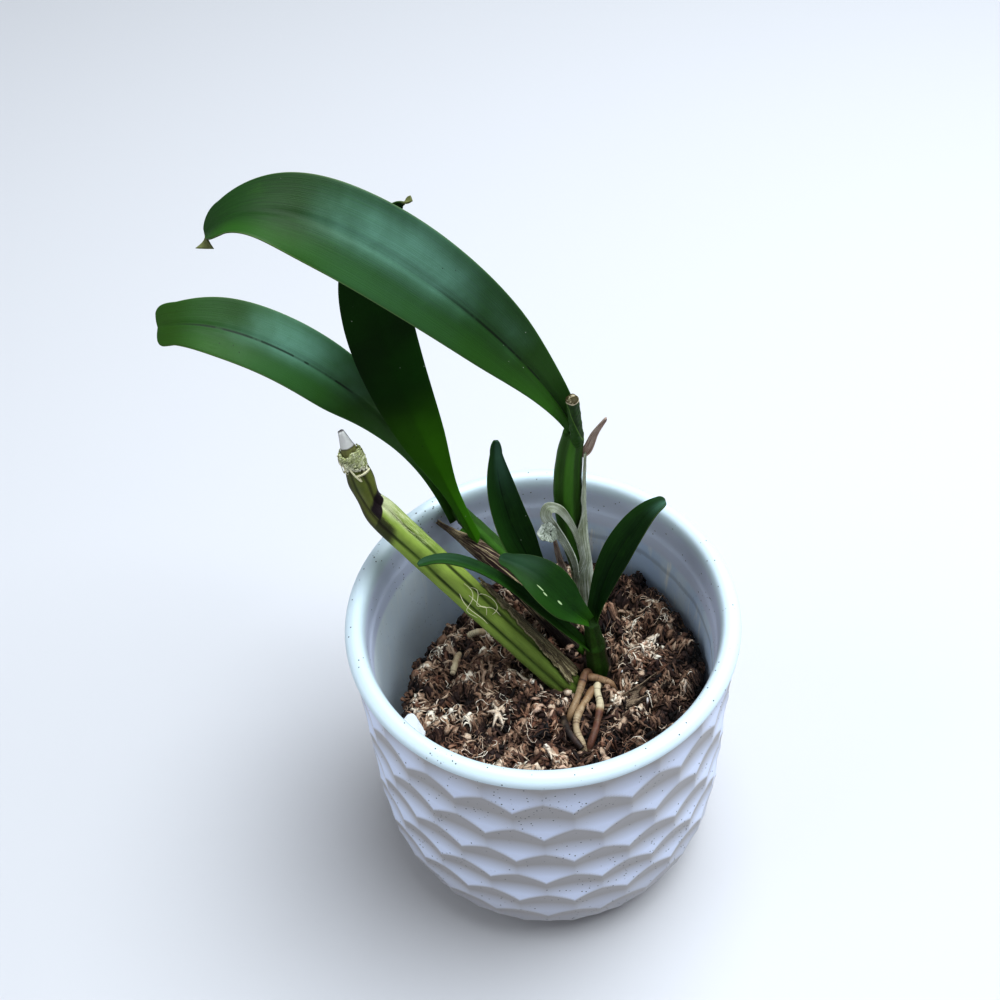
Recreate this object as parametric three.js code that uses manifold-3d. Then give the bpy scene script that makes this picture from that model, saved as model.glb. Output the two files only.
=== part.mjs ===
// A young Myrmecophila thomsoniana orchid growing in a honeycomb cover pot.
// Units are millimetres and +Z is up. The origin is the centre of the pot's foot, and -Y is the front.
import * as THREE from 'three';
import { mergeVertices } from 'three/addons/utils/BufferGeometryUtils.js';
import Module from 'manifold-3d';

const wasm = await Module();
wasm.setup();

const { lerp, clamp, smoothstep, degToRad } = THREE.MathUtils;
const TAU = 2 * Math.PI;
const GAP = 0.3; // clearance between pieces that touch on the real plant

// Pot: outer sizes, wall and floor
const POT_HEIGHT = 128;
const RIM_RADIUS = 70;
const BODY_RADIUS = 69;
const WAIST_RADIUS = 68.4;
const FOOT_RADIUS = 52;
const FOOT_ROUNDING = 42; // height over which the belly curves in to the foot
const WALL = 7;
const FLOOR = 8;

// Honeycomb of scoops round the pot. Rows are counted downwards and grow closer towards the foot.
const SCOOPS_AROUND = 21;
const SCOOP_DEPTH = 1.5;
const FIRST_ROW_FOOT = 105.7; // height of the lowest corners of the first row
const ROW_DROP = 18;
const ROW_EASING = 0.37;
const FIRST_ROW_TOP = -1; // row coordinate where the scoops meet the rim
const LAST_ROW = 6; // the scoops run on a little way below the foot of this row
const FRONT_SCOOP = degToRad(-92); // a scoop of every other row is centred here

// Growing medium: height of its surface and how far it keeps from the wall
const SURFACE = 84;
const CLUMP_RADIUS = 59.3;
const CLUMP_RETREAT = 14; // how much the clump shrinks away from the wall at the back left
const RETREAT_ANGLE = degToRad(142);
const RETREAT_SPREAD = degToRad(46);
const CHIP_COUNT = 26;

// Plant label
const LABEL_WIDTH = 10;
const LABEL_LENGTH = 46;
const LABEL_THICKNESS = 0.9;
const LABEL_CORNER = 2.5; // radius of its two upper corners
const LABEL_TOP = [-49, -17.5, 93]; // its upper corner nearest the plant
const LABEL_ACROSS = [-0.49, -0.85, 0.19]; // direction of its width, outwards from that corner
const LABEL_UP = [-0.44, 0.43, 0.79];

// Leaves and dry sheaths
const BLADE_EDGE = 0.8; // thickness of a blade at its margin
const TIP_START = 0.93; // where a blade's tip starts to round off
const HOOK_WIDTH = 2.6; // half the width of a withered tip
const SHEATH_THICKNESS = 0.7;

const vec = (x, y, z) => new THREE.Vector3(x, y, z);
const through = (...points) => new THREE.CatmullRomCurve3(points.map((p) => vec(...p)));
const arch = (...points) => new THREE.CubicBezierCurve3(...points.map((p) => vec(...p)));

// Repeatable random numbers between 0 and 1
function seededRandom(seed) {
  let state = seed;
  return () => {
    state = (state * 16807) % 2147483647;
    return state / 2147483647;
  };
}

// Smooth value at t along stations, through all the given values
function profile(stations, values, t) {
  let i = 0;
  while (i < stations.length - 2 && t > stations[i + 1]) i++;
  const slope = (k) => {
    const a = Math.max(k - 1, 0);
    const b = Math.min(k + 1, stations.length - 1);
    return (values[b] - values[a]) / (stations[b] - stations[a]);
  };
  const span = stations[i + 1] - stations[i];
  const s = clamp((t - stations[i]) / span, 0, 1);
  const blend = lerp(values[i], values[i + 1], s * s * (3 - 2 * s));
  return blend + s * (1 - s) * span * ((1 - s) * slope(i) - s * slope(i + 1));
}

// Geometry from points and triangles, turned right side out if its volume comes out negative
function closed(points, index) {
  let volume = 0;
  for (let i = 0; i < index.length; i += 3) {
    const [a, b, c] = [points[index[i]], points[index[i + 1]], points[index[i + 2]]];
    volume += a.dot(b.clone().cross(c));
  }
  if (volume < 0) index.reverse();
  const geometry = new THREE.BufferGeometry();
  const positions = points.flatMap((p) => [p.x, p.y, p.z]);
  geometry.setAttribute('position', new THREE.Float32BufferAttribute(positions, 3));
  geometry.setIndex(index);
  return geometry;
}

// A closed body over rings with the same even number of points. Each end is closed by a strip
// that joins one half of its ring to the other.
function skin(rings) {
  const n = rings[0].length;
  const index = [];
  for (let i = 0; i + 1 < rings.length; i++) {
    for (let j = 0; j < n; j++) {
      const a = i * n + j;
      const b = i * n + ((j + 1) % n);
      index.push(a, b, b + n, a, b + n, a + n);
    }
  }
  const last = (rings.length - 1) * n;
  for (let j = 0; j < n / 2 - 1; j++) {
    const k = n - 1 - j;
    index.push(j + 1, j, k, j + 1, k, k - 1);
    index.push(last + j, last + j + 1, last + k - 1, last + j, last + k - 1, last + k);
  }
  return closed(rings.flat(), index);
}

// Places round a path: angle 0 looks towards `facing`, and angles turn about the path's direction
function around(path, t, facing) {
  const along = path.getTangentAt(t);
  const front = facing.clone().addScaledVector(along, -facing.dot(along)).normalize();
  const side = along.clone().cross(front);
  const centre = path.getPointAt(t);
  return (angle, radius, shift = 0) => centre.clone()
    .addScaledVector(front, radius * Math.cos(angle))
    .addScaledVector(side, radius * Math.sin(angle))
    .addScaledVector(along, shift);
}

// A stem of varying radius along a path, with ribs that run lengthwise. A grown copy is the same
// stem without its furrows and larger all round.
function stem({ path, facing, radius, rows, sides, ribs = 0, ribDepth = 0 }, grow = 0) {
  const rings = [];
  for (let i = 0; i <= rows; i++) {
    const t = i / rows;
    const place = around(path, t, facing);
    const shift = i === 0 ? -grow : i === rows ? grow : 0;
    rings.push(Array.from({ length: sides }, (_, j) => {
      const angle = (TAU * j) / sides;
      const furrow = grow > 0 ? 1 : 1 - ribDepth * (0.5 - 0.5 * Math.cos(ribs * angle));
      return place(angle, radius(t) * furrow + grow, shift);
    }));
  }
  return skin(rings);
}

// A dry sheath: a thin shell round a path at radius(t), between the angles from(t) and to(t).
// A grown copy is larger all round, and it also fills the space towards the path.
function sheath({ path, facing, radius, from, to, rows, across, start = 0, end = 1 }, grow = 0) {
  const rings = [];
  for (let i = 0; i <= rows; i++) {
    const t = i / rows;
    const place = around(path, lerp(start, end, t), facing);
    const shift = i === 0 ? -grow : i === rows ? grow : 0;
    const spare = grow / radius(t);
    const angleAt = (j) => lerp(degToRad(from(t)) - spare, degToRad(to(t)) + spare, j / across);
    const steps = Array.from({ length: across + 1 }, (_, j) => j);
    const hollow = grow > 0 ? 0.5 * radius(t) : radius(t);
    const outer = steps.map((j) => place(angleAt(j), radius(t) + SHEATH_THICKNESS + grow, shift));
    const inner = steps.map((j) => place(angleAt(across - j), hollow, shift));
    rings.push([...outer, ...inner]);
  }
  return skin(rings);
}

// A blade along a path. Half widths are given from base to tip, `up` holds the directions that its
// upper face looks in at the base, middle and tip, and the margins rise by the angle `channel`.
// `fold` folds the base further, `notch` parts the tip in two lobes, and `hook` is a withered tip.
function blade(leaf, grow = 0) {
  const { path, up, halfWidths, middle, rows, across } = leaf;
  const { channel = 0.12, fold = 0.5, notch = 0, hook = null } = leaf;
  const stations = halfWidths.map((_, i) => TIP_START * (i / (halfWidths.length - 1)));
  const rings = [];
  const addRing = (centre, along, facing, half, cup, midrib, lobe) => {
    const face = facing.clone().addScaledVector(along, -facing.dot(along)).normalize();
    const side = along.clone().cross(face);
    const point = (j, under) => {
      const u = (2 * j) / across - 1;
      const rise = Math.sin(cup) * half * Math.abs(u) ** 1.3 - (u === 0 ? 0.15 * midrib : 0);
      const thickness = lerp(BLADE_EDGE, midrib, (1 - Math.abs(u)) ** 1.2);
      return centre.clone()
        .addScaledVector(side, -u * (half * Math.cos(cup) + grow))
        .addScaledVector(face, under ? rise - thickness - grow : rise + grow)
        .addScaledVector(along, lobe * Math.sin(Math.PI * Math.abs(u)));
    };
    const steps = Array.from({ length: across + 1 }, (_, j) => j);
    const upper = steps.map((j) => point(j, false));
    rings.push([...upper, ...steps.map((j) => point(across - j, true))]);
  };
  const facingAt = (t) => up[0].clone().multiplyScalar((1 - t) ** 2)
    .addScaledVector(up[1], 2 * t * (1 - t))
    .addScaledVector(up[2], t * t);
  for (let i = 0; i <= rows; i++) {
    const t = 1 - (1 - i / rows) ** 1.25;
    const intoTip = clamp((t - TIP_START) / (1.005 - TIP_START), 0, 1);
    const half = profile(stations, halfWidths, t) * Math.sqrt(1 - intoTip ** 2);
    const cup = channel + fold * (1 - smoothstep(t, 0, 0.25));
    const midrib = lerp(middle, BLADE_EDGE, t ** 3);
    const lobe = notch * smoothstep(t, 0.85, 1);
    addRing(path.getPoint(t), path.getTangent(t), facingAt(t), half, cup, midrib, lobe);
  }
  if (hook) {
    const end = path.getPoint(1);
    const facing = up[2].clone().add(path.getTangent(1));
    for (const s of [0.35, 1]) {
      const half = lerp(1.2, HOOK_WIDTH, s * s);
      const centre = end.clone().addScaledVector(hook, s);
      addRing(centre, hook.clone().normalize(), facing, half, 0.5, BLADE_EDGE, 0);
    }
  }
  return skin(rings);
}

// Joining and cutting of closed meshes
function solid(geometry) {
  const bare = geometry.clone();
  bare.deleteAttribute('normal');
  bare.deleteAttribute('uv');
  const merged = mergeVertices(bare, 1e-4);
  const vertProperties = merged.attributes.position.array;
  const triVerts = new Uint32Array(merged.index.array);
  return new wasm.Manifold(new wasm.Mesh({ numProp: 3, vertProperties, triVerts }));
}

function geometryOf(body) {
  const mesh = body.getMesh();
  const geometry = new THREE.BufferGeometry();
  geometry.setAttribute('position', new THREE.BufferAttribute(mesh.vertProperties, 3));
  geometry.setIndex(new THREE.BufferAttribute(mesh.triVerts, 1));
  return geometry;
}

// A cut can leave loose slivers, so only its largest body stays
function cut(geometry, ...tools) {
  const rest = tools.map(solid).reduce((a, b) => a.subtract(b), solid(geometry));
  return geometryOf(rest.decompose().reduce((a, b) => (a.volume() > b.volume() ? a : b)));
}

const joined = (...geometries) => geometryOf(geometries.map(solid).reduce((a, b) => a.add(b)));

// Pot outline without its scoops: the belly narrows to the foot along a quarter ellipse
function bodyRadius(z) {
  if (z < FOOT_ROUNDING) {
    const drop = 1 - z / FOOT_ROUNDING;
    return lerp(FOOT_RADIUS, WAIST_RADIUS, Math.sqrt(1 - drop * drop));
  }
  return lerp(WAIST_RADIUS, BODY_RADIUS, (z - FOOT_ROUNDING) / (POT_HEIGHT - FOOT_ROUNDING));
}

const innerRadius = (z) => bodyRadius(z) - WALL;
const rowHeight = (row) => FIRST_ROW_FOOT - ROW_DROP * row + ROW_EASING * row * row;

// Depth of the scoops at a place on the wall. Each scoop is a shallow bowl over one hexagon, whose
// corners reach 2/3 of a row from its centre, and columns are quarters of a scoop's width.
function scoopDepth(column, row) {
  const reach = 2 / 3;
  let nearest = reach;
  for (let r = 0; r <= LAST_ROW + 1; r++) {
    const offset = column / 4 - (r % 2) / 2;
    const across = (offset - Math.round(offset)) * reach * Math.sqrt(3);
    nearest = Math.min(nearest, Math.hypot(across, row - (r - reach)));
  }
  return SCOOP_DEPTH * (1 - (nearest / reach) ** 2) * smoothstep(rowHeight(row), 0, 8);
}

function pot() {
  const columns = 4 * SCOOPS_AROUND;
  const points = [];
  const index = [];
  const ring = (count, radiusAt, zAt) => {
    for (let k = 0; k < count; k++) {
      const angle = FRONT_SCOOP + (TAU * (k - 2)) / count;
      points.push(vec(radiusAt(k) * Math.cos(angle), radiusAt(k) * Math.sin(angle), zAt(k)));
    }
    return { start: points.length - count, count };
  };
  const plainRing = (count, radius, z) => ring(count, () => radius, () => z);
  // The shorter diagonal of each quad keeps the ridges between the scoops sharp
  const join = (lower, upper) => {
    for (let k = 0; k < lower.count; k++) {
      const next = (k + 1) % lower.count;
      const [a, b] = [lower.start + k, lower.start + next];
      const [c, d] = [upper.start + k, upper.start + next];
      const shorter = points[a].distanceTo(points[d]) < points[b].distanceTo(points[c]);
      index.push(...(shorter ? [a, b, d, a, d, c] : [a, b, c, b, d, c]));
    }
  };
  const fan = (edge, reversed) => {
    const centre = points.length;
    points.push(vec(0, 0, points[edge.start].z));
    for (let k = 0; k < edge.count; k++) {
      const pair = [edge.start + k, edge.start + ((k + 1) % edge.count)];
      index.push(...(reversed ? pair.reverse() : pair), centre);
    }
  };

  const outer = [plainRing(columns, FOOT_RADIUS - 1, 0), plainRing(columns, bodyRadius(1), 1)];
  const steps = Math.round(3 * (LAST_ROW + 1 / 3 - FIRST_ROW_TOP));
  for (let m = steps; m >= 0; m--) {
    const row = (k) => FIRST_ROW_TOP + m / 3 + (k % 2) / 6;
    const radius = (k) => bodyRadius(rowHeight(row(k))) - scoopDepth(k, row(k));
    outer.push(ring(columns, radius, (k) => rowHeight(row(k))));
  }
  const lip = [[0, -3], [-1.2, -0.9], [-3.4, 0]];
  for (const [dr, dz] of lip) outer.push(plainRing(columns, RIM_RADIUS + dr, POT_HEIGHT + dz));
  for (let i = 0; i + 1 < outer.length; i++) join(outer[i], outer[i + 1]);

  // The inner wall has half as many columns; a soft step lies a little below the rim
  const half = columns / 2;
  const inner = [plainRing(half, RIM_RADIUS - 5.8, POT_HEIGHT - 0.9)];
  const wall = [[1, 124.5], [0.6, 115], [0, 112], [0, 70], [0, 40], [0, 24], [0, 13], [-4, FLOOR]];
  for (const [dr, z] of wall) inner.push(plainRing(half, innerRadius(z) + dr, z));
  const lipEdge = outer[outer.length - 1];
  for (let k = 0; k < half; k++) {
    const a = [0, 1, 2].map((q) => lipEdge.start + ((2 * k + q) % columns));
    const b = [k, (k + 1) % half].map((q) => inner[0].start + q);
    index.push(a[0], a[1], b[0], a[1], b[1], b[0], a[1], a[2], b[1]);
  }
  for (let i = 0; i + 1 < inner.length; i++) join(inner[i], inner[i + 1]);
  fan(outer[0], true);
  fan(inner[inner.length - 1], false);
  return closed(points, index);
}

// Stems. The canes are pseudobulbs: a leaning bare one (A), a leaning sheathed one (B) and an
// upright one (C). D is the short stem of the new growth.
const towardsViewer = vec(0, -0.6, 0.8);
const caneA = {
  path: through([13.4, -4.1, 76.2], [10.7, -2.5, 80], [-12.6, 7.7, 105.6], [-35.8, 18, 131],
    [-54.3, 26.2, 151.5], [-57.9, 27.4, 157.1], [-60.5, 28.4, 168], [-62.2, 29.2, 178.1],
    [-64.8, 31.3, 189.3]),
  radius: (t) => profile([0, 0.12, 0.4, 0.66, 0.74, 0.79, 0.85, 0.88, 0.93, 0.96, 1],
    [5.6, 5.9, 6.2, 6.2, 6, 4.3, 4.9, 4.4, 3.5, 2.4, 1.1], t),
  facing: towardsViewer, rows: 16, sides: 24, ribs: 6, ribDepth: 0.2,
};
const caneB = {
  path: through([18.5, 13.5, 74.3], [13.5, 15.5, 83.2], [-4, 28.6, 99], [-29.5, 47.3, 118.3]),
  radius: (t) => lerp(2.7, 2.2, t),
  facing: towardsViewer, rows: 6, sides: 10,
};
const caneC = {
  path: through([18.5, 27, 73], [17.4, 27.5, 92], [15.3, 27, 115], [12.2, 26, 137], [10.8, 25, 160],
    [11.5, 24.5, 180], [13, 24.6, 191]),
  radius: (t) => profile([0, 0.15, 0.35, 0.55, 0.72, 0.9, 1], [2.6, 2.3, 3.3, 4.5, 5.1, 4.6, 3.6], t),
  facing: vec(0, -1, 0), rows: 12, sides: 20, ribs: 5, ribDepth: 0.12,
};
const stemD = {
  path: through([21.5, 3.5, 73.4], [20.6, 4.2, 84], [19.4, 4.8, 98], [17.8, 5, 112]),
  radius: (t) => profile([0, 0.25, 0.6, 0.66, 0.72, 1], [3.8, 4.2, 3.9, 4.2, 3.6, 2.6], t),
  facing: vec(0, -1, 0), rows: 10, sides: 12,
};
const stubC = {
  path: through([14.2, 22.6, 188], [13.9, 20.4, 193.5], [12.4, 17.6, 212.5]),
  radius: (t) => lerp(2.2, 2.1, t),
  facing: vec(0, -1, 0), rows: 5, sides: 10,
};

// Rhizome under the surface, with the roots of the new growth
const rhizome = {
  path: through([7, -11, 66], [15, -6, 67], [19, 2, 67.5], [19, 12, 67.5], [19, 24, 67], [18.5, 33, 66]),
  radius: (t) => 4.2 + 0.6 * Math.cos(5 * TAU * t),
  facing: vec(0, 0, 1), rows: 12, sides: 8,
};
const root = (...points) => ({
  path: through(...points), radius: (t) => lerp(1.6, 1.25, t), facing: vec(1, 1, 0), rows: 8, sides: 6,
});
const roots = [
  root([17.5, -3, 68], [21.5, -7.5, 74], [20.5, -5.2, 81], [18.5, -3.4, 85.5], [14.5, -8.5, 88],
    [10, -16, 86.5], [7.5, -20, 80]),
  root([21.4, -7, 76], [19.6, -7.6, 83.5], [17, -8.5, 87], [14.2, -13.5, 86.8], [11.4, -20, 85],
    [12.4, -26.5, 79.5]),
  root([17.5, -6.5, 67.5], [23, -11, 76], [21, -9.6, 84.5], [20.2, -14, 86.4], [18, -22.5, 84.5],
    [15.6, -29, 79]),
  root([20, 0, 68], [24.6, -4, 75], [22.4, -4.4, 82], [24.2, -4, 87.2], [28, -4, 86.6], [30.5, -4.6, 81]),
];

// Leaves
const leaves = {
  leaf_c1: {
    path: arch([13.1, 24.9, 192.3], [1.2, 14.4, 239.5], [-65.5, 23, 308], [-88, 15.5, 283]),
    up: [vec(-0.21, -0.3, 0.93), vec(-0.61, -0.17, 0.77), vec(-0.83, -0.21, 0.51)],
    halfWidths: [3, 6.3, 11, 13.2, 13.3, 12, 7.2], middle: 2, rows: 15, across: 4,
    hook: vec(-1, -1, -5.5),
  },
  leaf_b1: {
    path: arch([-31.2, 48.4, 121.5], [-42.5, 47.2, 187], [-90.8, 41.1, 238.5], [-119.3, 43, 228]),
    up: [vec(-0.31, -0.54, 0.78), vec(-0.62, 0.15, 0.77), vec(-0.51, -0.43, 0.74)],
    halfWidths: [2.6, 4.2, 8.4, 10.3, 11.5, 10.8, 7.2], middle: 1.9, rows: 15, across: 4, notch: 2,
  },
  leaf_b2: {
    path: arch([-22.5, 42.6, 112.9], [-41, 40, 181.5], [-64.3, 53.2, 241.3], [-35.2, 44.6, 271.4]),
    up: [vec(-0.3, 0.88, 0.37), vec(-0.31, 0.94, 0.11), vec(-0.24, 0.95, -0.21)],
    halfWidths: [2.6, 3.2, 8.3, 10.8, 11.4, 9.6, 3.6], middle: 1.9, rows: 15, across: 4,
    hook: vec(4, -1, 2.5),
  },
  leaf_d1: {
    path: arch([19, 6.3, 110.6], [19.9, 10.2, 132], [34.2, 18.5, 157.5], [44.2, 19.8, 160.4]),
    up: [vec(-0.55, -0.69, 0.47), vec(-0.29, -0.76, 0.58), vec(-0.52, 0.25, 0.82)],
    halfWidths: [2.6, 3.4, 4.8, 5.7, 5.6, 5, 3.8], middle: 1.4, rows: 11, across: 4,
  },
  leaf_d2: {
    path: arch([17.2, 3.2, 115], [6, 4.2, 126.5], [3.2, 7.7, 139.6], [-14.2, 14.2, 140]),
    up: [vec(0.29, -0.47, 0.83), vec(0.26, -0.33, 0.91), vec(0.12, -0.51, 0.85)],
    halfWidths: [2.6, 4.8, 7.2, 7.9, 7.4, 5.6, 2.8], middle: 1.4, rows: 11, across: 4,
  },
  leaf_d3: {
    path: arch([17.2, 2.6, 99.5], [2.2, 6.5, 117.2], [-24.2, 15.5, 151.3], [-41.8, 4.6, 149.8]),
    up: [vec(0.3, -0.28, 0.91), vec(0.1, -0.27, 0.96), vec(0.07, -0.26, 0.96)],
    halfWidths: [2, 2.5, 2.7, 2.3, 2.2, 2.3, 1.7], middle: 1.3, rows: 12, across: 4,
  },
  leaf_d4: {
    path: arch([15.6, 8.6, 110], [-5.7, 15.6, 128.9], [-15, 29.3, 154.5], [-13.2, 35.7, 177]),
    up: [vec(0.74, -0.41, 0.53), vec(0.6, -0.62, 0.51), vec(0.12, -0.93, 0.34)],
    halfWidths: [2.8, 3.8, 4.4, 6.8, 6.2, 4.9, 2.6], middle: 1.4, rows: 12, across: 4,
  },
};

// Dry sheaths and bracts
const caneASheath = {
  path: caneA.path, facing: towardsViewer, start: 0.06, end: 0.44, rows: 8, across: 6,
  radius: () => 6.6, from: (t) => lerp(8, 62, t), to: (t) => lerp(165, 100, t),
};
const caneACollar = {
  path: caneA.path, facing: towardsViewer, start: 0.885, end: 0.955, rows: 4, across: 10,
  radius: (t) => 0.4 + caneA.radius(lerp(0.885, 0.955, t)),
  from: (t) => lerp(-125, -110, t), to: (t) => lerp(75, 115, t),
};
const caneBSheath = {
  path: through([13.5, 15.5, 83.2], [-4, 28.6, 99], [-20.5, 41, 111.4], [-37.5, 51, 122.5]),
  facing: towardsViewer, rows: 10, across: 8,
  radius: (t) => lerp(3.5, 3.1, t),
  from: (t) => lerp(-172, -40, smoothstep(t, 0.5, 1)) - 20 * smoothstep(t, 0.8, 1),
  to: (t) => lerp(172, -25, smoothstep(t, 0.45, 1)),
};
const caneCSheath = {
  path: caneC.path, facing: vec(0, -1, 0), start: 0.13, end: 0.94, rows: 13, across: 6,
  radius: (t) => 0.65 + caneC.radius(lerp(0.13, 0.94, t)),
  from: (t) => lerp(lerp(-95, -60, t / 0.28), 16, smoothstep(t, 0.28, 0.42))
    + 34 * smoothstep(t, 0.56, 0.7) + 12 * smoothstep(t, 0.7, 1),
  to: (t) => lerp(110, 80, smoothstep(t, 0.3, 1)),
};
const barkCurl = {
  path: through([28, -13.8, 87.4], [36.5, -9.6, 88], [44.5, -4, 88.2]),
  facing: vec(0, 0, 1), rows: 5, across: 8,
  radius: (t) => lerp(2.4, 3, t), from: (t) => lerp(70, 50, t), to: () => 290,
};
const strips = {
  curled_sheath_c: {
    path: through([13.6, 21.2, 118], [12.1, 18.9, 131.8], [8.6, 18.4, 143.1], [5.2, 17.6, 151.8],
      [2.9, 16.9, 158.4], [4, 16.8, 162.5], [7.1, 17.2, 161.3], [10.2, 17.8, 155.8], [12.9, 18.3, 147.8],
      [14.7, 18.9, 138.8]),
    up: [vec(-0.3, -0.9, 0.3), vec(-0.5, -0.5, 0.7), vec(0.4, -0.8, 0.4)],
    halfWidths: [0.9, 1.3, 1.6, 1.9, 2.2, 2.1, 1.8, 1.5, 1.2, 1], middle: 0.8, fold: 0, rows: 22, across: 2,
  },
  brown_strip_c: {
    path: through([12.6, 23.4, 104], [9.6, 21.8, 118], [7, 21.6, 130], [5.6, 22, 139]),
    up: [vec(-0.5, -0.8, 0.1), vec(-0.5, -0.8, 0.1), vec(-0.5, -0.8, 0.2)],
    halfWidths: [0.7, 1.2, 1.5, 1.3, 0.8], middle: 0.8, fold: 0, rows: 7, across: 2,
  },
  bract_c: {
    path: through([17.9, 23, 184.2], [19.9, 21.8, 192.4], [23.4, 20, 200.6]),
    up: [vec(-0.3, -0.8, 0.5), vec(-0.2, -0.9, 0.4), vec(0.2, -0.9, 0.2)],
    halfWidths: [0.9, 1.6, 1.5, 1.1, 0.6], middle: 0.8, fold: 0.2, rows: 6, across: 2,
  },
};

// Growing medium: a lumpy clump with chips standing out of it and old root ends lying on it
function surfaceHeight(x, y) {
  const lumps = 1.7 * Math.sin(0.41 * x + 1.3) * Math.cos(0.36 * y - 0.4)
    + 1.2 * Math.sin(0.63 * x - 0.58 * y + 2);
  const bank = 4.6 * smoothstep(0.8 * x + 0.6 * y, 5, 55);
  const hollow = 6 * Math.exp(-((x - 34) ** 2 + (y - 27) ** 2) / 30);
  return SURFACE + lumps + bank - hollow;
}

function clumpRadius(angle) {
  const turn = Math.atan2(Math.sin(angle - RETREAT_ANGLE), Math.cos(angle - RETREAT_ANGLE));
  const ragged = 0.7 * Math.sin(7 * angle) + 0.5 * Math.sin(17 * angle + 1);
  return CLUMP_RADIUS - CLUMP_RETREAT * Math.exp(-((turn / RETREAT_SPREAD) ** 2)) + ragged;
}

function clump() {
  const columns = 32;
  const rings = [];
  const ring = (place) => rings.push(Array.from({ length: columns }, (_, k) => place((TAU * k) / columns)));
  const polar = (r, angle, z) => vec(r * Math.cos(angle), r * Math.sin(angle), z);
  const bottom = FLOOR + GAP;
  ring((angle) => polar(innerRadius(FLOOR) - 8, angle, bottom));
  for (const [z, inset] of [[bottom + 4, 4], [30, 2], [58, 1.5], [SURFACE - 11, 1]]) {
    ring((angle) => polar(Math.min(clumpRadius(angle) + 1, innerRadius(z) - inset), angle, z));
  }
  for (const share of [1, 0.92, 0.81, 0.68, 0.55, 0.42, 0.29, 0.16, 0.05]) {
    ring((angle) => {
      const r = share * clumpRadius(angle);
      const [x, y] = [r * Math.cos(angle), r * Math.sin(angle)];
      return vec(x, y, surfaceHeight(x, y) - 5 * smoothstep(share, 0.88, 1.05));
    });
  }
  return skin(rings);
}

// A chip or strip that sticks out of the clump, as a flat bar bent along a curve
function chip(from, to, width, thickness, bow) {
  const middle = from.clone().lerp(to, 0.5).add(bow);
  const section = new THREE.Shape();
  section.moveTo(-thickness / 2, -width / 2);
  section.lineTo(thickness / 2, -width / 2);
  section.lineTo(thickness / 2, width / 2);
  section.lineTo(-thickness / 2, width / 2);
  const extrudePath = new THREE.QuadraticBezierCurve3(from, middle, to);
  return new THREE.ExtrudeGeometry(section, { steps: 2, extrudePath });
}

function growingMedium() {
  const random = seededRandom(4307);
  const chips = [];
  while (chips.length < CHIP_COUNT) {
    const angle = TAU * random();
    const r = clumpRadius(angle) * (0.15 + 0.75 * Math.sqrt(random()));
    const heading = TAU * random();
    const reach = 3.5 + 3.5 * random();
    const [x, y] = [r * Math.cos(angle), r * Math.sin(angle)];
    const [dx, dy] = [reach * Math.cos(heading), reach * Math.sin(heading)];
    const from = vec(x - dx, y - dy, surfaceHeight(x - dx, y - dy) - 1.6);
    const to = vec(x + dx, y + dy, surfaceHeight(x + dx, y + dy) + 2.2 * random() - 0.8);
    const clear = Math.hypot(x - 12, y - 6) > 22 && Math.hypot(x + dx, y + dy) < clumpRadius(angle) - 3;
    if (!clear) continue;
    const bow = vec(0, 0, 1 + 1.5 * random());
    chips.push(chip(from, to, 1.4 + 2 * random(), 1 + 0.6 * random(), bow));
  }
  const oldRoots = [
    root([-32.5, 14, 83], [-33.6, 8, 86.6], [-34.6, 2, 87.2]),
    root([-30, 21, 84], [-25.5, 21.3, 87], [-21, 21.4, 86.6]),
    root([5.4, -19.6, 83], [8.6, -26.5, 85.6], [12, -32.4, 83]),
  ];
  const stems = [caneA, caneB, caneC, stemD, rhizome, ...roots].map((part) => stem(part, GAP));
  const sheaths = [caneASheath, caneBSheath, barkCurl].map((part) => sheath(part, GAP));
  const slot = plantLabel(GAP).applyMatrix4(labelPlace);
  return cut(joined(clump(), ...chips, ...oldRoots.map((part) => stem(part))), ...stems, ...sheaths, slot);
}

// Plain plant label with rounded upper corners, stuck in the clump near the wall at the front left.
// It is drawn from its upper corner, with its width along +X and its length along +Y.
function plantLabel(grow = 0) {
  const outline = new THREE.Shape();
  const [left, right] = [-grow, LABEL_WIDTH + grow];
  outline.moveTo(left, -LABEL_LENGTH - grow);
  outline.lineTo(right, -LABEL_LENGTH - grow);
  outline.absarc(right - LABEL_CORNER, grow - LABEL_CORNER, LABEL_CORNER, 0, Math.PI / 2, false);
  outline.absarc(left + LABEL_CORNER, grow - LABEL_CORNER, LABEL_CORNER, Math.PI / 2, Math.PI, false);
  const depth = LABEL_THICKNESS + 2 * grow;
  const body = new THREE.ExtrudeGeometry(outline, { depth, bevelEnabled: false, curveSegments: 4 });
  return body.translate(0, 0, -depth / 2);
}

const labelAxes = [vec(...LABEL_ACROSS), vec(...LABEL_UP), vec(...LABEL_ACROSS).cross(vec(...LABEL_UP))];
const labelPlace = new THREE.Matrix4().makeBasis(...labelAxes.map((axis) => axis.normalize()));
labelPlace.setPosition(...LABEL_TOP);

const group = new THREE.Group();
function add(name, geometry, color, roughness = 0.6) {
  const mesh = new THREE.Mesh(geometry, new THREE.MeshStandardMaterial({ color, roughness, metalness: 0 }));
  mesh.name = name;
  group.add(mesh);
  return mesh;
}

const POT_WHITE = 0xdfe6f2;
const LEAF_GREEN = 0x1f5a2c;
const CANE_GREEN = 0x7f9a35;
const STEM_GREEN = 0x3b7d22;
const DRY_BROWN = 0x7a6650;
const DRY_SILVER = 0xb9b7a8;
const ROOT_TAN = 0xb89b6e;
const FIBRE_BROWN = 0x6b4a34;
const BARK_DARK = 0x3a2a20;
const LABEL_WHITE = 0xf4f4f2;

add('pot', pot(), POT_WHITE, 0.55);
add('growing_medium', growingMedium(), FIBRE_BROWN, 0.95);

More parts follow.
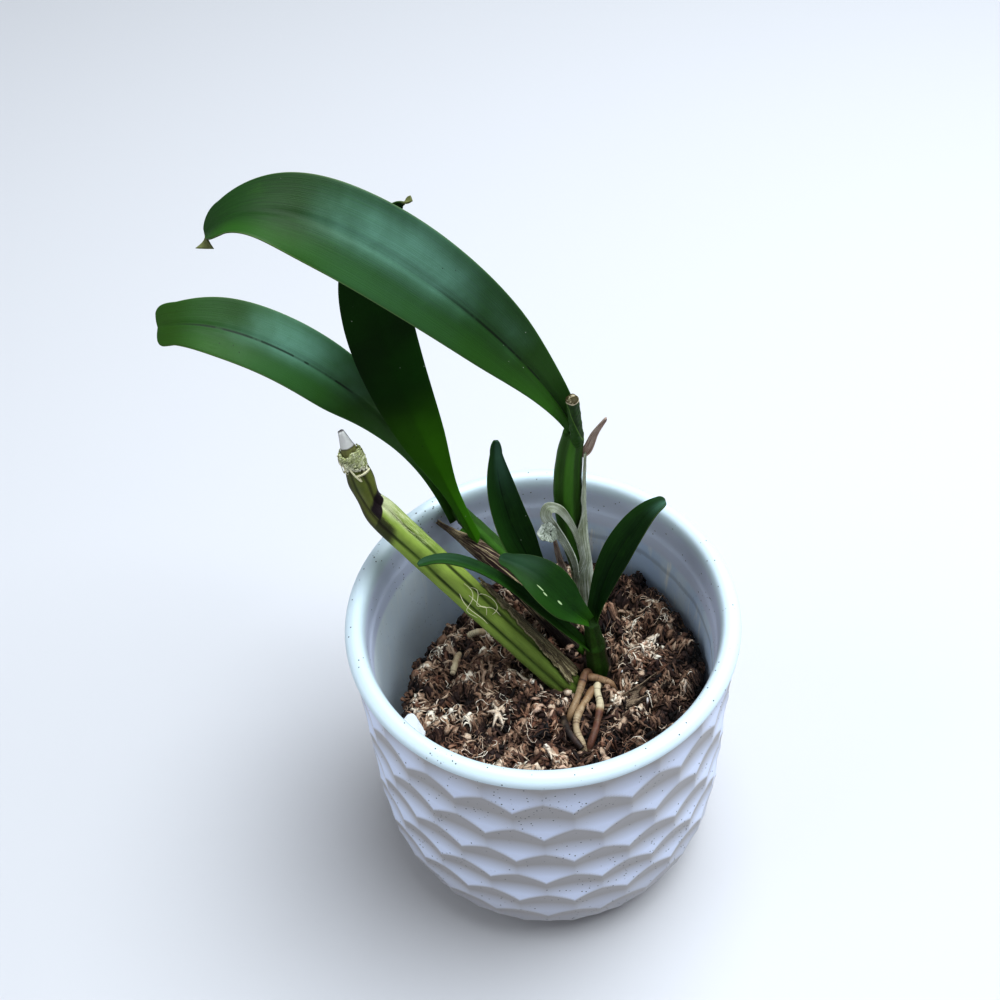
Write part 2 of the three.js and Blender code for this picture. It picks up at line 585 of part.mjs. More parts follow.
add('rhizome_roots', joined(stem(rhizome), ...roots.map((part) => stem(part))), ROOT_TAN);
for (const [name, part, color] of [['cane_a', caneA, CANE_GREEN], ['cane_b', caneB, STEM_GREEN],
  ['cane_c', caneC, STEM_GREEN], ['stem_d', stemD, STEM_GREEN]]) {
  add(name, stem(part), color, 0.45);
}
add('cut_stub_c', cut(stem(stubC), stem(caneC, GAP)), STEM_GREEN);

// Leaves that clasp a stem are cut free of it
const clasped = { leaf_b2: caneB, leaf_d1: stemD, leaf_d3: stemD, leaf_d4: stemD };
for (const [name, leaf] of Object.entries(leaves)) {
  const whole = blade(leaf);
  add(name, clasped[name] ? cut(whole, stem(clasped[name], GAP)) : whole, LEAF_GREEN, 0.35);
}

add('sheath_a', sheath(caneASheath), DRY_BROWN, 0.9);
add('collar_a', sheath(caneACollar), DRY_SILVER, 0.9);
add('sheath_b', cut(sheath(caneBSheath), blade(leaves.leaf_b2, 2 * GAP)), DRY_BROWN, 0.9);
add('sheath_c', sheath(caneCSheath), DRY_SILVER, 0.9);
add('bark_curl', sheath(barkCurl), BARK_DARK, 0.95);
for (const [name, strip] of Object.entries(strips)) add(name, blade(strip), DRY_SILVER, 0.9);
add('plant_label', plantLabel(), LABEL_WHITE, 0.5).applyMatrix4(labelPlace);

export default group;
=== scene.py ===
"""A potted orchid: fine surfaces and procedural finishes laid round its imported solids.

The solids keep the object's frame: +Z is up and -Y is the front. Lengths are in millimetres, and a
mesh is turned into metres when it is made. Only the finishes and the stage count in metres. The
solids' own formulas are worked out again here on finer grids. The live roots, the ends of some
leaves, the bract's foot and one sheath's width differ from their solids by up to some millimetres.
"""
import math

import bpy
import numpy as np
from mathutils import Matrix, Vector


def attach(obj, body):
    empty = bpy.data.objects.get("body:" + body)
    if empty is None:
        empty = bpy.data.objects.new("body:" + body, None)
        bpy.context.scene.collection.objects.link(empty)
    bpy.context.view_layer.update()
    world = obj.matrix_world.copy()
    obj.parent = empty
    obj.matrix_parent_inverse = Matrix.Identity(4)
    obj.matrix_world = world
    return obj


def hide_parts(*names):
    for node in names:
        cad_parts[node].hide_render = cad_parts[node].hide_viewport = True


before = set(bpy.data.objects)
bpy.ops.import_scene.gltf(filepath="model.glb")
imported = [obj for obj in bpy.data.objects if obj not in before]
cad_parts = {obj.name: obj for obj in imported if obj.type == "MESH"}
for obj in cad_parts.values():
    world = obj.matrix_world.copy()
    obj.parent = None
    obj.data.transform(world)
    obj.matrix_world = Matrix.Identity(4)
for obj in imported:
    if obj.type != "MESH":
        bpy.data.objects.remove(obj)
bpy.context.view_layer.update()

bl_info = {
    "name": "Potted orchid",
    "version": (1, 0, 0),
    "blender": (4, 5, 0),
    "location": "3D View > Sidebar > Orchid",
    "description": "Builds a potted orchid round its packed solids",
    "category": "Add Mesh",
}

MM = 0.001
MM_PER_M = 1000
TAU = 2 * math.pi

# Pot, as its solid has it, except that its scoops' depth and ridges are settings
POT_HEIGHT = 128
RIM_RADIUS = 70
BODY_RADIUS = 69
WAIST_RADIUS = 68.4
FOOT_RADIUS = 52
FOOT_ROUNDING = 42
WALL = 7
FLOOR = 8
SCOOPS_AROUND = 21
FIRST_ROW_FOOT = 105.7
ROW_DROP = 18
ROW_EASING = 0.37
FIRST_ROW_TOP = -1
LAST_ROW = 6
LOWEST_ROW = 6.33
FRONT_SCOOP = math.radians(-92)

# Radii and heights on the pot's profile: round the foot, over the lip to below its soft step, down
# the inner wall, where only heights are given, and across the floor
FOOT_PROFILE = ((2, 0), (30, 0), (50, 0), (51, 0), (51.6, 0.4))
LIP_PROFILE = ((69.4, 124.3), (RIM_RADIUS, 125), (69.8, 126), (68.8, 127.1), (66.6, POT_HEIGHT),
               (64.2, 127.1), (63, 124.5), (62.6, 115), (62, 112))
INNER_HEIGHTS = (100, 84, 70, 55, 42, 36, 30, 24, 20, 16, 13)
FLOOR_RADII = (40, 20, 2)
LIP_SLOPE = -0.8  # slope mark of the lip and the inner side, which lie open to the light

# Growing medium, as its solid has it
SURFACE = 84
CLUMP_RADIUS = 59.3
CLUMP_RETREAT = 14
RETREAT_ANGLE = math.radians(142)
RETREAT_SPREAD = math.radians(46)
EDGE_DROP = 5
CLUMP_SIDE = ((12.3, 4), (30, 2), (58, 1.5), (73, 1))  # heights, and how far inside the wall
GAP = 0.3

# Blades and sheaths
BLADE_EDGE = 0.8
TIP_START = 0.93
HOOK_WIDTH = 2.6
CHANNEL = 0.12  # how far the margins cup upwards, in radians
SHEATH_THICKNESS = 0.7

# Stage, in metres and degrees
FLOOR_REACH = 6
SKY_COLOUR = (0.9, 0.95, 1, 1)
LAMP_COLOUR = (0.88, 0.95, 1.0)
LAMP_AIM = (0, 0, 0.1)
LAMPS = (("main_lamp", 1.4, (0.48, 0.18, 1.46)), ("side_lamp", 1.2, (-1.3, -0.3, 1.0)))
CAMERA_PLACE = (0, -0.2795, 0.4948)
CAMERA_TURNS = ((2.417, "Z"), (90 - 47.81, "X"), (-4.2, "Z"))
FOCAL_LENGTH = 46.8  # millimetres, on a sensor this wide
SENSOR_WIDTH = 36


# ---- Curves ----

def lerp(a, b, t):
    """The value at share t of the way from a to b."""
    return a + (b - a) * t


def smoothstep(x, low, high):
    """0 below low, 1 above high, and 3s^2 - 2s^3 in between, s being the share of the way."""
    s = np.clip((x - low) / (high - low), 0, 1)
    return s * s * (3 - 2 * s)


def profile(stations, values, t):
    """Smooth values at t: a cubic between stations, whose slopes are those of its neighbours' chord."""
    stations, values = np.asarray(stations, float), np.asarray(values, float)
    last = len(stations) - 1
    i = np.clip(np.searchsorted(stations, t, side="left") - 1, 0, last - 1)
    before, after = np.maximum(np.arange(last + 1) - 1, 0), np.minimum(np.arange(last + 1) + 1, last)
    slope = (values[after] - values[before]) / (stations[after] - stations[before])
    span = stations[i + 1] - stations[i]
    s = np.clip((t - stations[i]) / span, 0, 1)
    blend = lerp(values[i], values[i + 1], s * s * (3 - 2 * s))
    return blend + s * (1 - s) * span * ((1 - s) * slope[i] - s * slope[i + 1])


def arch(*points):
    """A cubic Bezier curve over four points, as a function of the parameter."""
    p = np.asarray(points, float)

    def place(t):
        """Places at parameters t."""
        t = np.asarray(t, float)[:, None]
        return p[0] * (1 - t) ** 3 + 3 * p[1] * t * (1 - t) ** 2 + 3 * p[2] * t * t * (1 - t) + p[3] * t ** 3
    return place


def through(*points):
    """A curve through points, as a function of the parameter: between two points it is a cubic whose
    end slopes weigh the neighbouring chords by the square roots of their lengths."""
    inner = np.asarray(points, float)
    p = np.vstack([2 * inner[0] - inner[1], inner, 2 * inner[-1] - inner[-2]])
    spans = len(inner) - 1

    def place(t):
        """Places at parameters t."""
        s = np.clip(np.asarray(t, float), 0, 1) * spans
        i = np.minimum(s.astype(int), spans - 1)
        w = (s - i)[:, None]
        a, b, c, d = (p[i + k] for k in range(4))
        chords = (b - a, c - b, d - c)
        ab, bc, cd = (np.linalg.norm(chord, axis=1, keepdims=True) ** 0.5 for chord in chords)
        start = ((b - a) / ab - (c - a) / (ab + bc) + (c - b) / bc) * bc
        end = ((c - b) / bc - (d - b) / (bc + cd) + (d - c) / cd) * bc
        square, cube = 3 * (c - b) - 2 * start - end, 2 * (b - c) + start + end
        return b + start * w + square * w ** 2 + cube * w ** 3
    return place


def unit(vectors):
    """Vectors brought to length 1."""
    return vectors / np.maximum(np.linalg.norm(vectors, axis=-1, keepdims=True), 1e-9)


def heading(curve, t):
    """Directions of a curve at parameters t, from places a little before and after each."""
    step = 1e-4
    return unit(curve(np.minimum(t + step, 1)) - curve(np.maximum(t - step, 0)))


def by_length(curve, shares):
    """Parameters at shares of a curve's length, from the summed chords of a fine sampling."""
    t = np.linspace(0, 1, 1201)
    chords = np.linalg.norm(np.diff(curve(t), axis=0), axis=1)
    return np.interp(shares, np.append(0, np.cumsum(chords)) / chords.sum(), t)


def frames(curve, shares, facing):
    """Centres, fronts, sides and directions at shares of a curve's length. Front is `facing` made
    square to the curve, and side is the direction crossed with front."""
    t = by_length(curve, shares)
    along = heading(curve, t)
    facing = np.asarray(facing, float)
    front = unit(facing - along * (along @ facing)[:, None])
    return curve(t), front, np.cross(along, front), along


def value_noise(x, y, size, seed):
    """Smooth noise from -1 to 1: random numbers on a square lattice, blended by smoothsteps."""
    lattice = np.random.default_rng(seed).uniform(-1, 1, (64, 64))
    u, v = x / size + 17.3, y / size + 5.9
    i, j = np.floor(u).astype(int), np.floor(v).astype(int)
    a, b = smoothstep(u - i, 0, 1), smoothstep(v - j, 0, 1)
    near, far = (lerp(lattice[i % 64, (j + k) % 64], lattice[(i + 1) % 64, (j + k) % 64], a) for k in (0, 1))
    return lerp(near, far, b)


# ---- Meshes ----

def outward(places, faces):
    """The quads of a closed shell, turned round if they enclose a negative volume."""
    corners = places[faces]
    first, second = corners[:, 2] - corners[:, 0], corners[:, 3] - corners[:, 1]
    volume = np.einsum("ij,ij->", corners.mean(axis=1), np.cross(first, second))
    return faces if volume > 0 else faces[:, ::-1]


def mesh_piece(name, places, faces, marks):
    """A smooth-shaded mesh object from places in millimetres and quads. marks are named numbers for
    each place, for its material."""
    mesh = bpy.data.meshes.new(name)
    mesh.vertices.add(len(places))
    mesh.vertices.foreach_set("co", (places * MM).astype(np.float32).ravel())
    mesh.loops.add(faces.size)
    mesh.loops.foreach_set("vertex_index", faces.ravel().astype(np.int32))
    mesh.polygons.add(len(faces))
    mesh.polygons.foreach_set("loop_start", np.arange(0, faces.size, 4, dtype=np.int32))
    mesh.polygons.foreach_set("use_smooth", np.ones(len(faces), bool))
    for mark, values in marks.items():
        layer = mesh.attributes.new(mark, "FLOAT", "POINT")
        layer.data.foreach_set("value", np.broadcast_to(values, len(places)).astype(np.float32).ravel())
    mesh.update()
    mesh.validate()
    piece = bpy.data.objects.new(name, mesh)
    bpy.context.scene.collection.objects.link(piece)
    return piece


def ring_faces(rows, columns):
    """Quads over rings of an even number of places, closed round, each end closed by a strip that
    joins one half of its ring to the other."""
    i, j = np.meshgrid(np.arange(rows - 1), np.arange(columns), indexing="ij")
    a, b = i * columns + j, i * columns + (j + 1) % columns
    sides = np.stack([a, b, b + columns, a + columns], axis=-1).reshape(-1, 4)
    j = np.arange(columns // 2 - 1)
    k = columns - 1 - j
    last = (rows - 1) * columns
    start = np.stack([j + 1, j, k, k - 1], axis=-1)
    end = last + np.stack([j, j + 1, k - 1, k], axis=-1)
    return np.vstack([sides, start, end])


def skins(name, *shells):
    """One piece of closed shells. Each shell is an array of rows, columns and coordinates with its
    marks, and all of them carry the same marks."""
    places, faces, flat, count = [], [], {mark: [] for mark in shells[0][1]}, 0
    for rings, marks in shells:
        rows, columns = rings.shape[:2]
        places.append(rings.reshape(-1, 3))
        faces.append(outward(places[-1], ring_faces(rows, columns)) + count)
        for mark, values in marks.items():
            flat[mark].append(np.broadcast_to(values, (rows, columns)).ravel())
        count += rows * columns
    flat = {mark: np.concatenate(values) for mark, values in flat.items()}
    return mesh_piece(name, np.vstack(places), np.vstack(faces), flat)


def strands(name, centres, widths, thickness, across, **marks):
    """Many closed strands in one piece. centres has strand, step and coordinates, and each step has
    four places: the centre plus and minus half a width along `across`, and plus and minus half a
    thickness square to it. marks hold one number for each strand."""
    count, steps = centres.shape[:2]
    along = unit(np.gradient(centres, axis=1))
    across = unit(across[:, None] - along * np.sum(along * across[:, None], axis=-1, keepdims=True))
    lift = np.cross(along, across)
    half, rise = widths[..., None] / 2, thickness[..., None] / 2
    places = np.stack([centres + across * half, centres + lift * rise,
                       centres - across * half, centres - lift * rise], axis=2)
    one = outward(places[0].reshape(-1, 3), ring_faces(steps, 4))
    faces = (one[None] + (np.arange(count) * steps * 4)[:, None, None]).reshape(-1, 4)
    flat = {mark: np.repeat(values, steps * 4) for mark, values in marks.items()}
    flat["along"] = np.tile(np.repeat(np.linspace(0, 1, steps), 4), count)
    return mesh_piece(name, places.reshape(-1, 3), faces, flat)


# ---- Finishes ----

CELL_PLACE = 2  # the output of a cell texture that gives the nearest point's place
STEM_MARKS = ("along", "groove", "cosine", "sine")


class Wire:
    """A number socket that takes part in Python expressions, each of which adds a Math node."""

    def __init__(self, finish, socket):
        self.finish = finish
        self.socket = socket

    def math(self, operation, *values):
        """A Math node on its values."""
        return self.finish.add("ShaderNodeMath", {"operation": operation}, *values)

    def __add__(self, other):
        return self.math("ADD", self, other)

    def __sub__(self, other):
        return self.math("SUBTRACT", self, other)

    def __rsub__(self, other):
        return self.math("SUBTRACT", other, self)

    def __mul__(self, other):
        return self.math("MULTIPLY", self, other)

    def __truediv__(self, other):
        return self.math("DIVIDE", self, other)

    def __pow__(self, other):
        return self.math("POWER", self, other)

    def __abs__(self):
        return self.math("ABSOLUTE", self)

    __radd__ = __add__

    def rise(self, low, high):
        """0 below low and 1 above high, smooth in between. It falls instead where low is above high."""
        ends = (low, high, 0.0, 1.0) if low < high else (high, low, 1.0, 0.0)
        return self.finish.add("ShaderNodeMapRange", {"interpolation_type": "SMOOTHSTEP"}, self, *ends)

    def clipped(self):
        """The number kept between 0 and 1."""
        return self.finish.add("ShaderNodeClamp", {}, self, 0.0, 1.0)


class Finish:
    """A material whose nodes come from one method, round one Principled shader."""

    def __init__(self, name, **constants):
        self.material = bpy.data.materials.new(name)
        self.material.use_nodes = True
        self.tree = self.material.node_tree
        self.shader = self.tree.nodes["Principled BSDF"]
        self.set(**constants)

    def set(self, **values):
        """Sets the shader's sockets to values, or links them to wires."""
        for key, value in values.items():
            self.join(self.shader.inputs[key.replace("_", " ")], value)

    def join(self, socket, value):
        """Links a socket to a wire, or sets it to a value."""
        if isinstance(value, Wire):
            self.tree.links.new(value.socket, socket)
        elif value is not None:
            socket.default_value = value

    def add(self, kind, settings, *values, out=0, **named):
        """A node of a kind: its settings first, a ramp's stops among them, then its sockets in order
        and by name. It gives the output asked for."""
        node = self.tree.nodes.new(kind)
        stops = settings.get("stops", ())
        for key, value in settings.items():
            if key != "stops":
                setattr(node, key, value)
        for number, (place, colour) in enumerate(stops):
            points = node.color_ramp.elements
            point = points[number] if number < len(points) else points.new(place)
            point.position = place
            point.color = (*colour, 1)
        for socket, value in zip(node.inputs, values):
            self.join(socket, value)
        for key, value in named.items():
            self.join(node.inputs[key.replace("_", " ")], value)
        return Wire(self, node.outputs[out])

    def mark(self, name):
        """A number that the mesh carries for each place."""
        return self.add("ShaderNodeAttribute", {"attribute_name": name}, out=2)

    def place(self):
        """The place on the object, in metres."""
        return self.add("ShaderNodeTexCoord", {}, out=3)

    def split(self, vector):
        """The three numbers of a vector."""
        first = self.add("ShaderNodeSeparateXYZ", {}, vector)
        return [Wire(self, socket) for socket in first.socket.node.outputs]

    def vector(self, x, y, z):
        """A vector of three numbers."""
        return self.add("ShaderNodeCombineXYZ", {}, x, y, z)

    def noise(self, vector, scale, detail=2.0, roughness=0.5):
        """Cloudy noise from 0 to 1. A higher scale gives finer clouds."""
        return self.add("ShaderNodeTexNoise", {}, Vector=vector, Scale=scale, Detail=detail,
                        Roughness=roughness)

    def cells(self, vector, scale, out=0):
        """The distance from the nearest of many scattered points, or that point's place."""
        return self.add("ShaderNodeTexVoronoi", {}, out=out, Vector=vector, Scale=scale)

    def mix(self, factor, first, second, blend="MIX"):
        """Two colours mixed by a factor."""
        a, b = (c if isinstance(c, Wire) else (*c, 1) for c in (first, second))
        settings = {"data_type": "RGBA", "blend_type": blend}
        return self.add("ShaderNodeMix", settings, factor, None, None, None, None, None, a, b, out=2)

    def layers(self, colour, *coats):
        """A colour with coats laid over it in turn, each of them a factor and a colour."""
        for factor, coat in coats:
            colour = self.mix(factor, colour, coat)
        return colour

    def ramp(self, value, *stops):
        """A colour ramp over stops of place and colour."""
        return self.add("ShaderNodeValToRGB", {"stops": stops}, value)

    def bump(self, height, depth, strength=1.0):
        """A Bump node from a height between 0 and 1, whose whole rise is `depth` in metres."""
        self.set(Normal=self.add("ShaderNodeBump", {}, Strength=strength, Distance=depth, Height=height))


# Dry skins: display colours of their dark, middle and light stripes, and what sets them apart
DRY_SKINS = {
    "grey_brown_coat": (
        ((50, 40, 30), (104, 92, 66), (178, 166, 130)), {"streaks": 22, "dim": 0.03}),
    # Its foot setting paints shade on the lower part of this sheath
    "purple_brown_sheath": (
        ((30, 14, 20), (66, 42, 38), (206, 190, 150)), {"streaks": 34, "dim": 0.06, "foot": 0.45}),
    "pinkish_brown_skin": (((66, 42, 40), (148, 118, 104), (214, 196, 180)), {"streaks": 14}),
    "pinkish_bract_skin": (((92, 58, 54), (190, 158, 142), (228, 210, 196)), {"streaks": 10}),
    "silver_sheath": (((104, 108, 76), (172, 180, 150), (228, 232, 218)), {"streaks": 20}),
    "cream_collar": (((138, 146, 78), (196, 202, 140), (246, 246, 214)), {"streaks": 30, "hem": 1.0}),
    "curled_flap_skin": (((40, 44, 40), (176, 184, 166), (230, 234, 224)), {"streaks": 9}),
}


def dress(piece, finish, slot, *nodes):
    """Gives a piece its finish and the root body, and hides the solids that it stands for. Its slot is
    not used.
    """
    piece.data.materials.clear()
    piece.data.materials.append(finish.material)
    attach(piece, "root")
    if nodes:
        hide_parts(*nodes)


# ---- Stems, blades and sheaths, by the formulas of their solids ----

TOWARDS_VIEWER = (0, -0.6, 0.8)

CANES = {
    "cane_a": {
        "path": through((13.4, -4.1, 76.2), (10.7, -2.5, 80), (-12.6, 7.7, 105.6), (-35.8, 18, 131),
                        (-54.3, 26.2, 151.5), (-57.9, 27.4, 157.1), (-60.5, 28.4, 168), (-62.2, 29.2, 178.1),
                        (-64.8, 31.3, 189.3)),
        "radius": ((0, 0.12, 0.4, 0.66, 0.74, 0.79, 0.85, 0.88, 0.93, 0.96, 1),
                   (5.6, 5.9, 6.2, 6.2, 6, 4.3, 4.9, 4.4, 3.5, 2.4, 1.1)),
        "facing": TOWARDS_VIEWER, "ribs": 6, "depth": 0.2, "fade": 0.8,
    },
    "cane_b": {
        "path": through((18.5, 13.5, 74.3), (13.5, 15.5, 83.2), (-4, 28.6, 99), (-29.5, 47.3, 118.3)),
        "radius": ((0, 1), (2.7, 2.2)), "facing": TOWARDS_VIEWER,
    },
    "cane_c": {
        "path": through((18.5, 27, 73), (17.4, 27.5, 92), (15.3, 27, 115), (12.2, 26, 137), (10.8, 25, 160),
                        (11.5, 24.5, 180), (13, 24.6, 191)),
        "radius": ((0, 0.15, 0.35, 0.55, 0.72, 0.9, 1), (2.6, 2.3, 3.3, 4.5, 5.1, 4.6, 3.6)),
        "facing": (0, -1, 0), "ribs": 5, "depth": 0.12,
    },
    "stem_d": {
        "path": through((21.5, 3.5, 73.4), (20.6, 4.2, 84), (19.4, 4.8, 98), (17.8, 5, 112)),
        "radius": ((0, 0.25, 0.6, 0.66, 0.72, 1), (3.8, 4.2, 3.9, 4.2, 3.6, 2.6)), "facing": (0, -1, 0),
    },
    "cut_stub_c": {
        "path": through((14.2, 22.6, 188), (13.9, 20.4, 193.5), (12.4, 17.6, 212.5)),
        "radius": ((0, 1), (2.2, 2.1)), "facing": (0, -1, 0), "ribs": 4, "depth": 0.08,
    },
}


def stem(cane, rows=120, columns=48):
    """A round stem: at share t of the path and angle a, the centre plus the radius at t times
    (front cos a + side sin a), less a furrow. The furrow is depth (1 - |cos(ribs a / 2)|), which
    cuts narrow grooves between round ribs, and slow ripples make it uneven along the path."""
    t = np.linspace(0, 1, rows)
    centre, front, side, _ = frames(cane["path"], t, cane["facing"])
    angle = TAU * np.arange(columns) / columns
    turn, along = np.meshgrid(angle, t)
    ribs = cane.get("ribs", 0)
    groove = 1 - np.abs(np.cos(ribs * turn / 2)) if ribs else np.zeros_like(turn)
    wander = 1 + 0.25 * np.sin(9 * along + 2 * turn) + 0.15 * np.sin(23 * along - turn)
    wander = wander * (1 - cane.get("fade", 0) * smoothstep(along, 0.74, 0.95))
    radius = profile(*cane["radius"], t)[:, None] * (1 - cane.get("depth", 0) * groove * wander)
    radius = radius + 0.06 * np.sin(31 * along + 3 * turn) + 0.04 * np.sin(67 * along - 5 * turn)
    rings = centre[:, None] + radius[..., None] * (
        front[:, None] * np.cos(turn)[..., None] + side[:, None] * np.sin(turn)[..., None])
    return rings, {"along": along, "groove": groove, "cosine": np.cos(turn), "sine": np.sin(turn)}


CLASPING_BASE = {
    "path": through((-33.4, 52, 130.6), (-28, 49.6, 122.6), (-19.2, 44.4, 114.6), (-6.6, 35.4, 105)),
    "radius": ((0, 0.3, 0.7, 1), (2.2, 3.4, 3.5, 2.8)), "facing": TOWARDS_VIEWER,
}


# Each leaf's look gives its shade, partly painted shade, and the places and strength of a painted sheen that
# stands in for the reflection of the sky
LEAVES = {
    "leaf_c1": {
        "path": arch((13.1, 24.9, 192.3), (1.2, 14.4, 239.5), (-65.5, 23, 308), (-88, 15.5, 283)),
        "up": ((-0.21, -0.3, 0.93), (-0.61, -0.17, 0.77), (-0.83, -0.21, 0.51)),
        "half": (3, 6.3, 11, 13.2, 13.3, 12, 7.2), "middle": 2, "hook": (-0.3, -3, -2.6),
        "look": {"shade": 0.45, "foot": 0.4, "painted_sheen": (0.26, 0.52, 0.76, 1), "rib": (0.02, 0.5)},
    },
    "leaf_b1": {
        "path": arch((-31.2, 48.4, 121.5), (-42.5, 47.2, 187), (-90.8, 41.1, 238.5), (-119.3, 43, 228)),
        "up": ((-0.31, -0.54, 0.78), (-0.62, 0.15, 0.77), (-0.51, -0.43, 0.74)),
        "half": (2.6, 4.2, 8.4, 10.3, 11.5, 10.8, 7.6), "middle": 1.9, "notch": 0.3, "blunt": 4,
        "look": {"shade": 0.05, "foot": 0.55, "painted_sheen": (0.36, 0.58, 0.8, 0.95), "rib": (0.45, 1),
                 "tip": 0.86},
    },
    "leaf_b2": {
        "path": arch((-22.5, 42.6, 112.9), (-41, 40, 181.5), (-64.3, 53.2, 241.3), (-36.6, 44.6, 269.8)),
        "up": ((-0.3, 0.88, 0.37), (-0.31, 0.94, 0.11), (-0.24, 0.95, -0.21)),
        "half": (2.6, 3.2, 8.3, 10.8, 11.4, 9.6, 2.8), "middle": 1.9, "hook": (3.2, 0.2, 1.4), "flare": 0.9,
        # Its shade is mostly painted shade, for it lies in the shadow of leaf_c1
        "look": {"shade": 0.7, "foot": 0.3, "painted_sheen": (0.4, 0.7, 1, 0), "rib": (0.02, 0.8), "gloss": 0.06},
    },
    "leaf_d1": {
        "path": arch((19, 6.3, 110.6), (19.9, 10.2, 132), (34.2, 18.5, 157.5), (44.2, 19.8, 160.4)),
        "up": ((-0.55, -0.69, 0.47), (-0.29, -0.76, 0.58), (-0.52, 0.25, 0.82)),
        "half": (2.6, 3.4, 4.8, 5.7, 5.6, 5, 3.8), "middle": 1.4,
        "look": {"shade": 0.95, "foot": 0.1, "painted_sheen": (0.74, 1, 1.4, 0.6), "rib": (0.02, 0.7), "gloss": 0.1},
    },
    "leaf_d2": {
        "path": arch((17.2, 3.2, 115), (6, 4.2, 126.5), (3.2, 7.7, 139.6), (-14.2, 14.2, 140)),
        "up": ((0.29, -0.47, 0.83), (0.26, -0.33, 0.91), (0.12, -0.51, 0.85)),
        "half": (2.6, 4.8, 7.2, 7.9, 7.4, 5.6, 2.8), "middle": 1.4,
        "look": {"shade": 0.6, "foot": 0.2, "painted_sheen": (0.5, 0.9, 1.6, 0.22), "rib": (0.02, 0.3), "gloss": 0.14,
                 "scars": ((0.585, 0.4, 0.05, 0.035), (0.515, 0.46, 0.03, 0.04), (0.345, 0.26, 0.035, 0.06))},
    },
    "leaf_d3": {
        "path": arch((17.2, 2.6, 99.5), (2.2, 6.5, 117.2), (-24.2, 15.5, 151.3), (-41.8, 4.6, 149.8)),
        "up": ((0.3, -0.28, 0.91), (0.1, -0.27, 0.96), (0.07, -0.26, 0.96)),
        "half": (2, 2.5, 2.7, 2.3, 2.2, 2.3, 1.7), "middle": 1.3,
        "look": {"shade": 0.5, "foot": 0.3, "painted_sheen": (0.5, 0.85, 1.6, 0.2), "rib": (0.02, 0.3),
                 "gloss": 0.14},
    },
    "leaf_d4": {
        "path": arch((15.6, 8.6, 110), (-5.7, 15.6, 128.9), (-15, 29.3, 154.5), (-13.2, 35.7, 177)),
        "up": ((0.74, -0.41, 0.53), (0.6, -0.62, 0.51), (0.12, -0.93, 0.34)),
        "half": (2.8, 3.8, 4.4, 6.8, 6.4, 4.9, 2.2), "middle": 1.4,
        "look": {"shade": 0.85, "foot": 0.2, "painted_sheen": (0.6, 0.95, 1.4, 0.35), "rib": (0.02, 0.9),
                 "gloss": 0.1},
    },
}
LONG_LEAVES = ("leaf_c1", "leaf_b1", "leaf_b2")
STRIPS = {
    "curled_sheath_c": {
        "path": through((13.6, 21.2, 118), (12.1, 18.9, 131.8), (8.6, 18.4, 143.1), (5.2, 17.6, 151.8),
                        (2.9, 16.9, 158.4), (4, 16.8, 162.5), (7.1, 17.2, 161.3), (10.2, 17.8, 155.8),
                        (12.9, 18.3, 147.8), (14.7, 18.9, 138.8)),
        "up": ((-0.3, -0.9, 0.3), (-0.5, -0.5, 0.7), (0.4, -0.8, 0.4)),
        "half": (0.9, 1.3, 1.6, 1.9, 2.2, 2.1, 1.8, 1.5, 1.2, 1), "middle": 0.8, "fold": 0,
    },
    "brown_strip_c": {
        "path": through((12.6, 23.4, 104), (9.6, 21.8, 118), (7, 21.6, 130), (5.6, 22, 139)),
        "up": ((-0.5, -0.8, 0.1), (-0.5, -0.8, 0.1), (-0.5, -0.8, 0.2)),
        "half": (0.7, 1.2, 1.5, 1.3, 0.8), "middle": 0.8, "fold": 0,
    },
    "bract_c": {
        "path": through((15.8, 23.4, 180.4), (17.7, 23, 184.6), (19.9, 21.8, 192.4), (23.4, 20, 200.6)),
        "up": ((-0.3, -0.8, 0.5), (-0.2, -0.9, 0.4), (0.2, -0.9, 0.2)),
        "half": (0.9, 1.6, 1.5, 1.1, 0.6), "middle": 0.8, "fold": 0.2,
    },
}


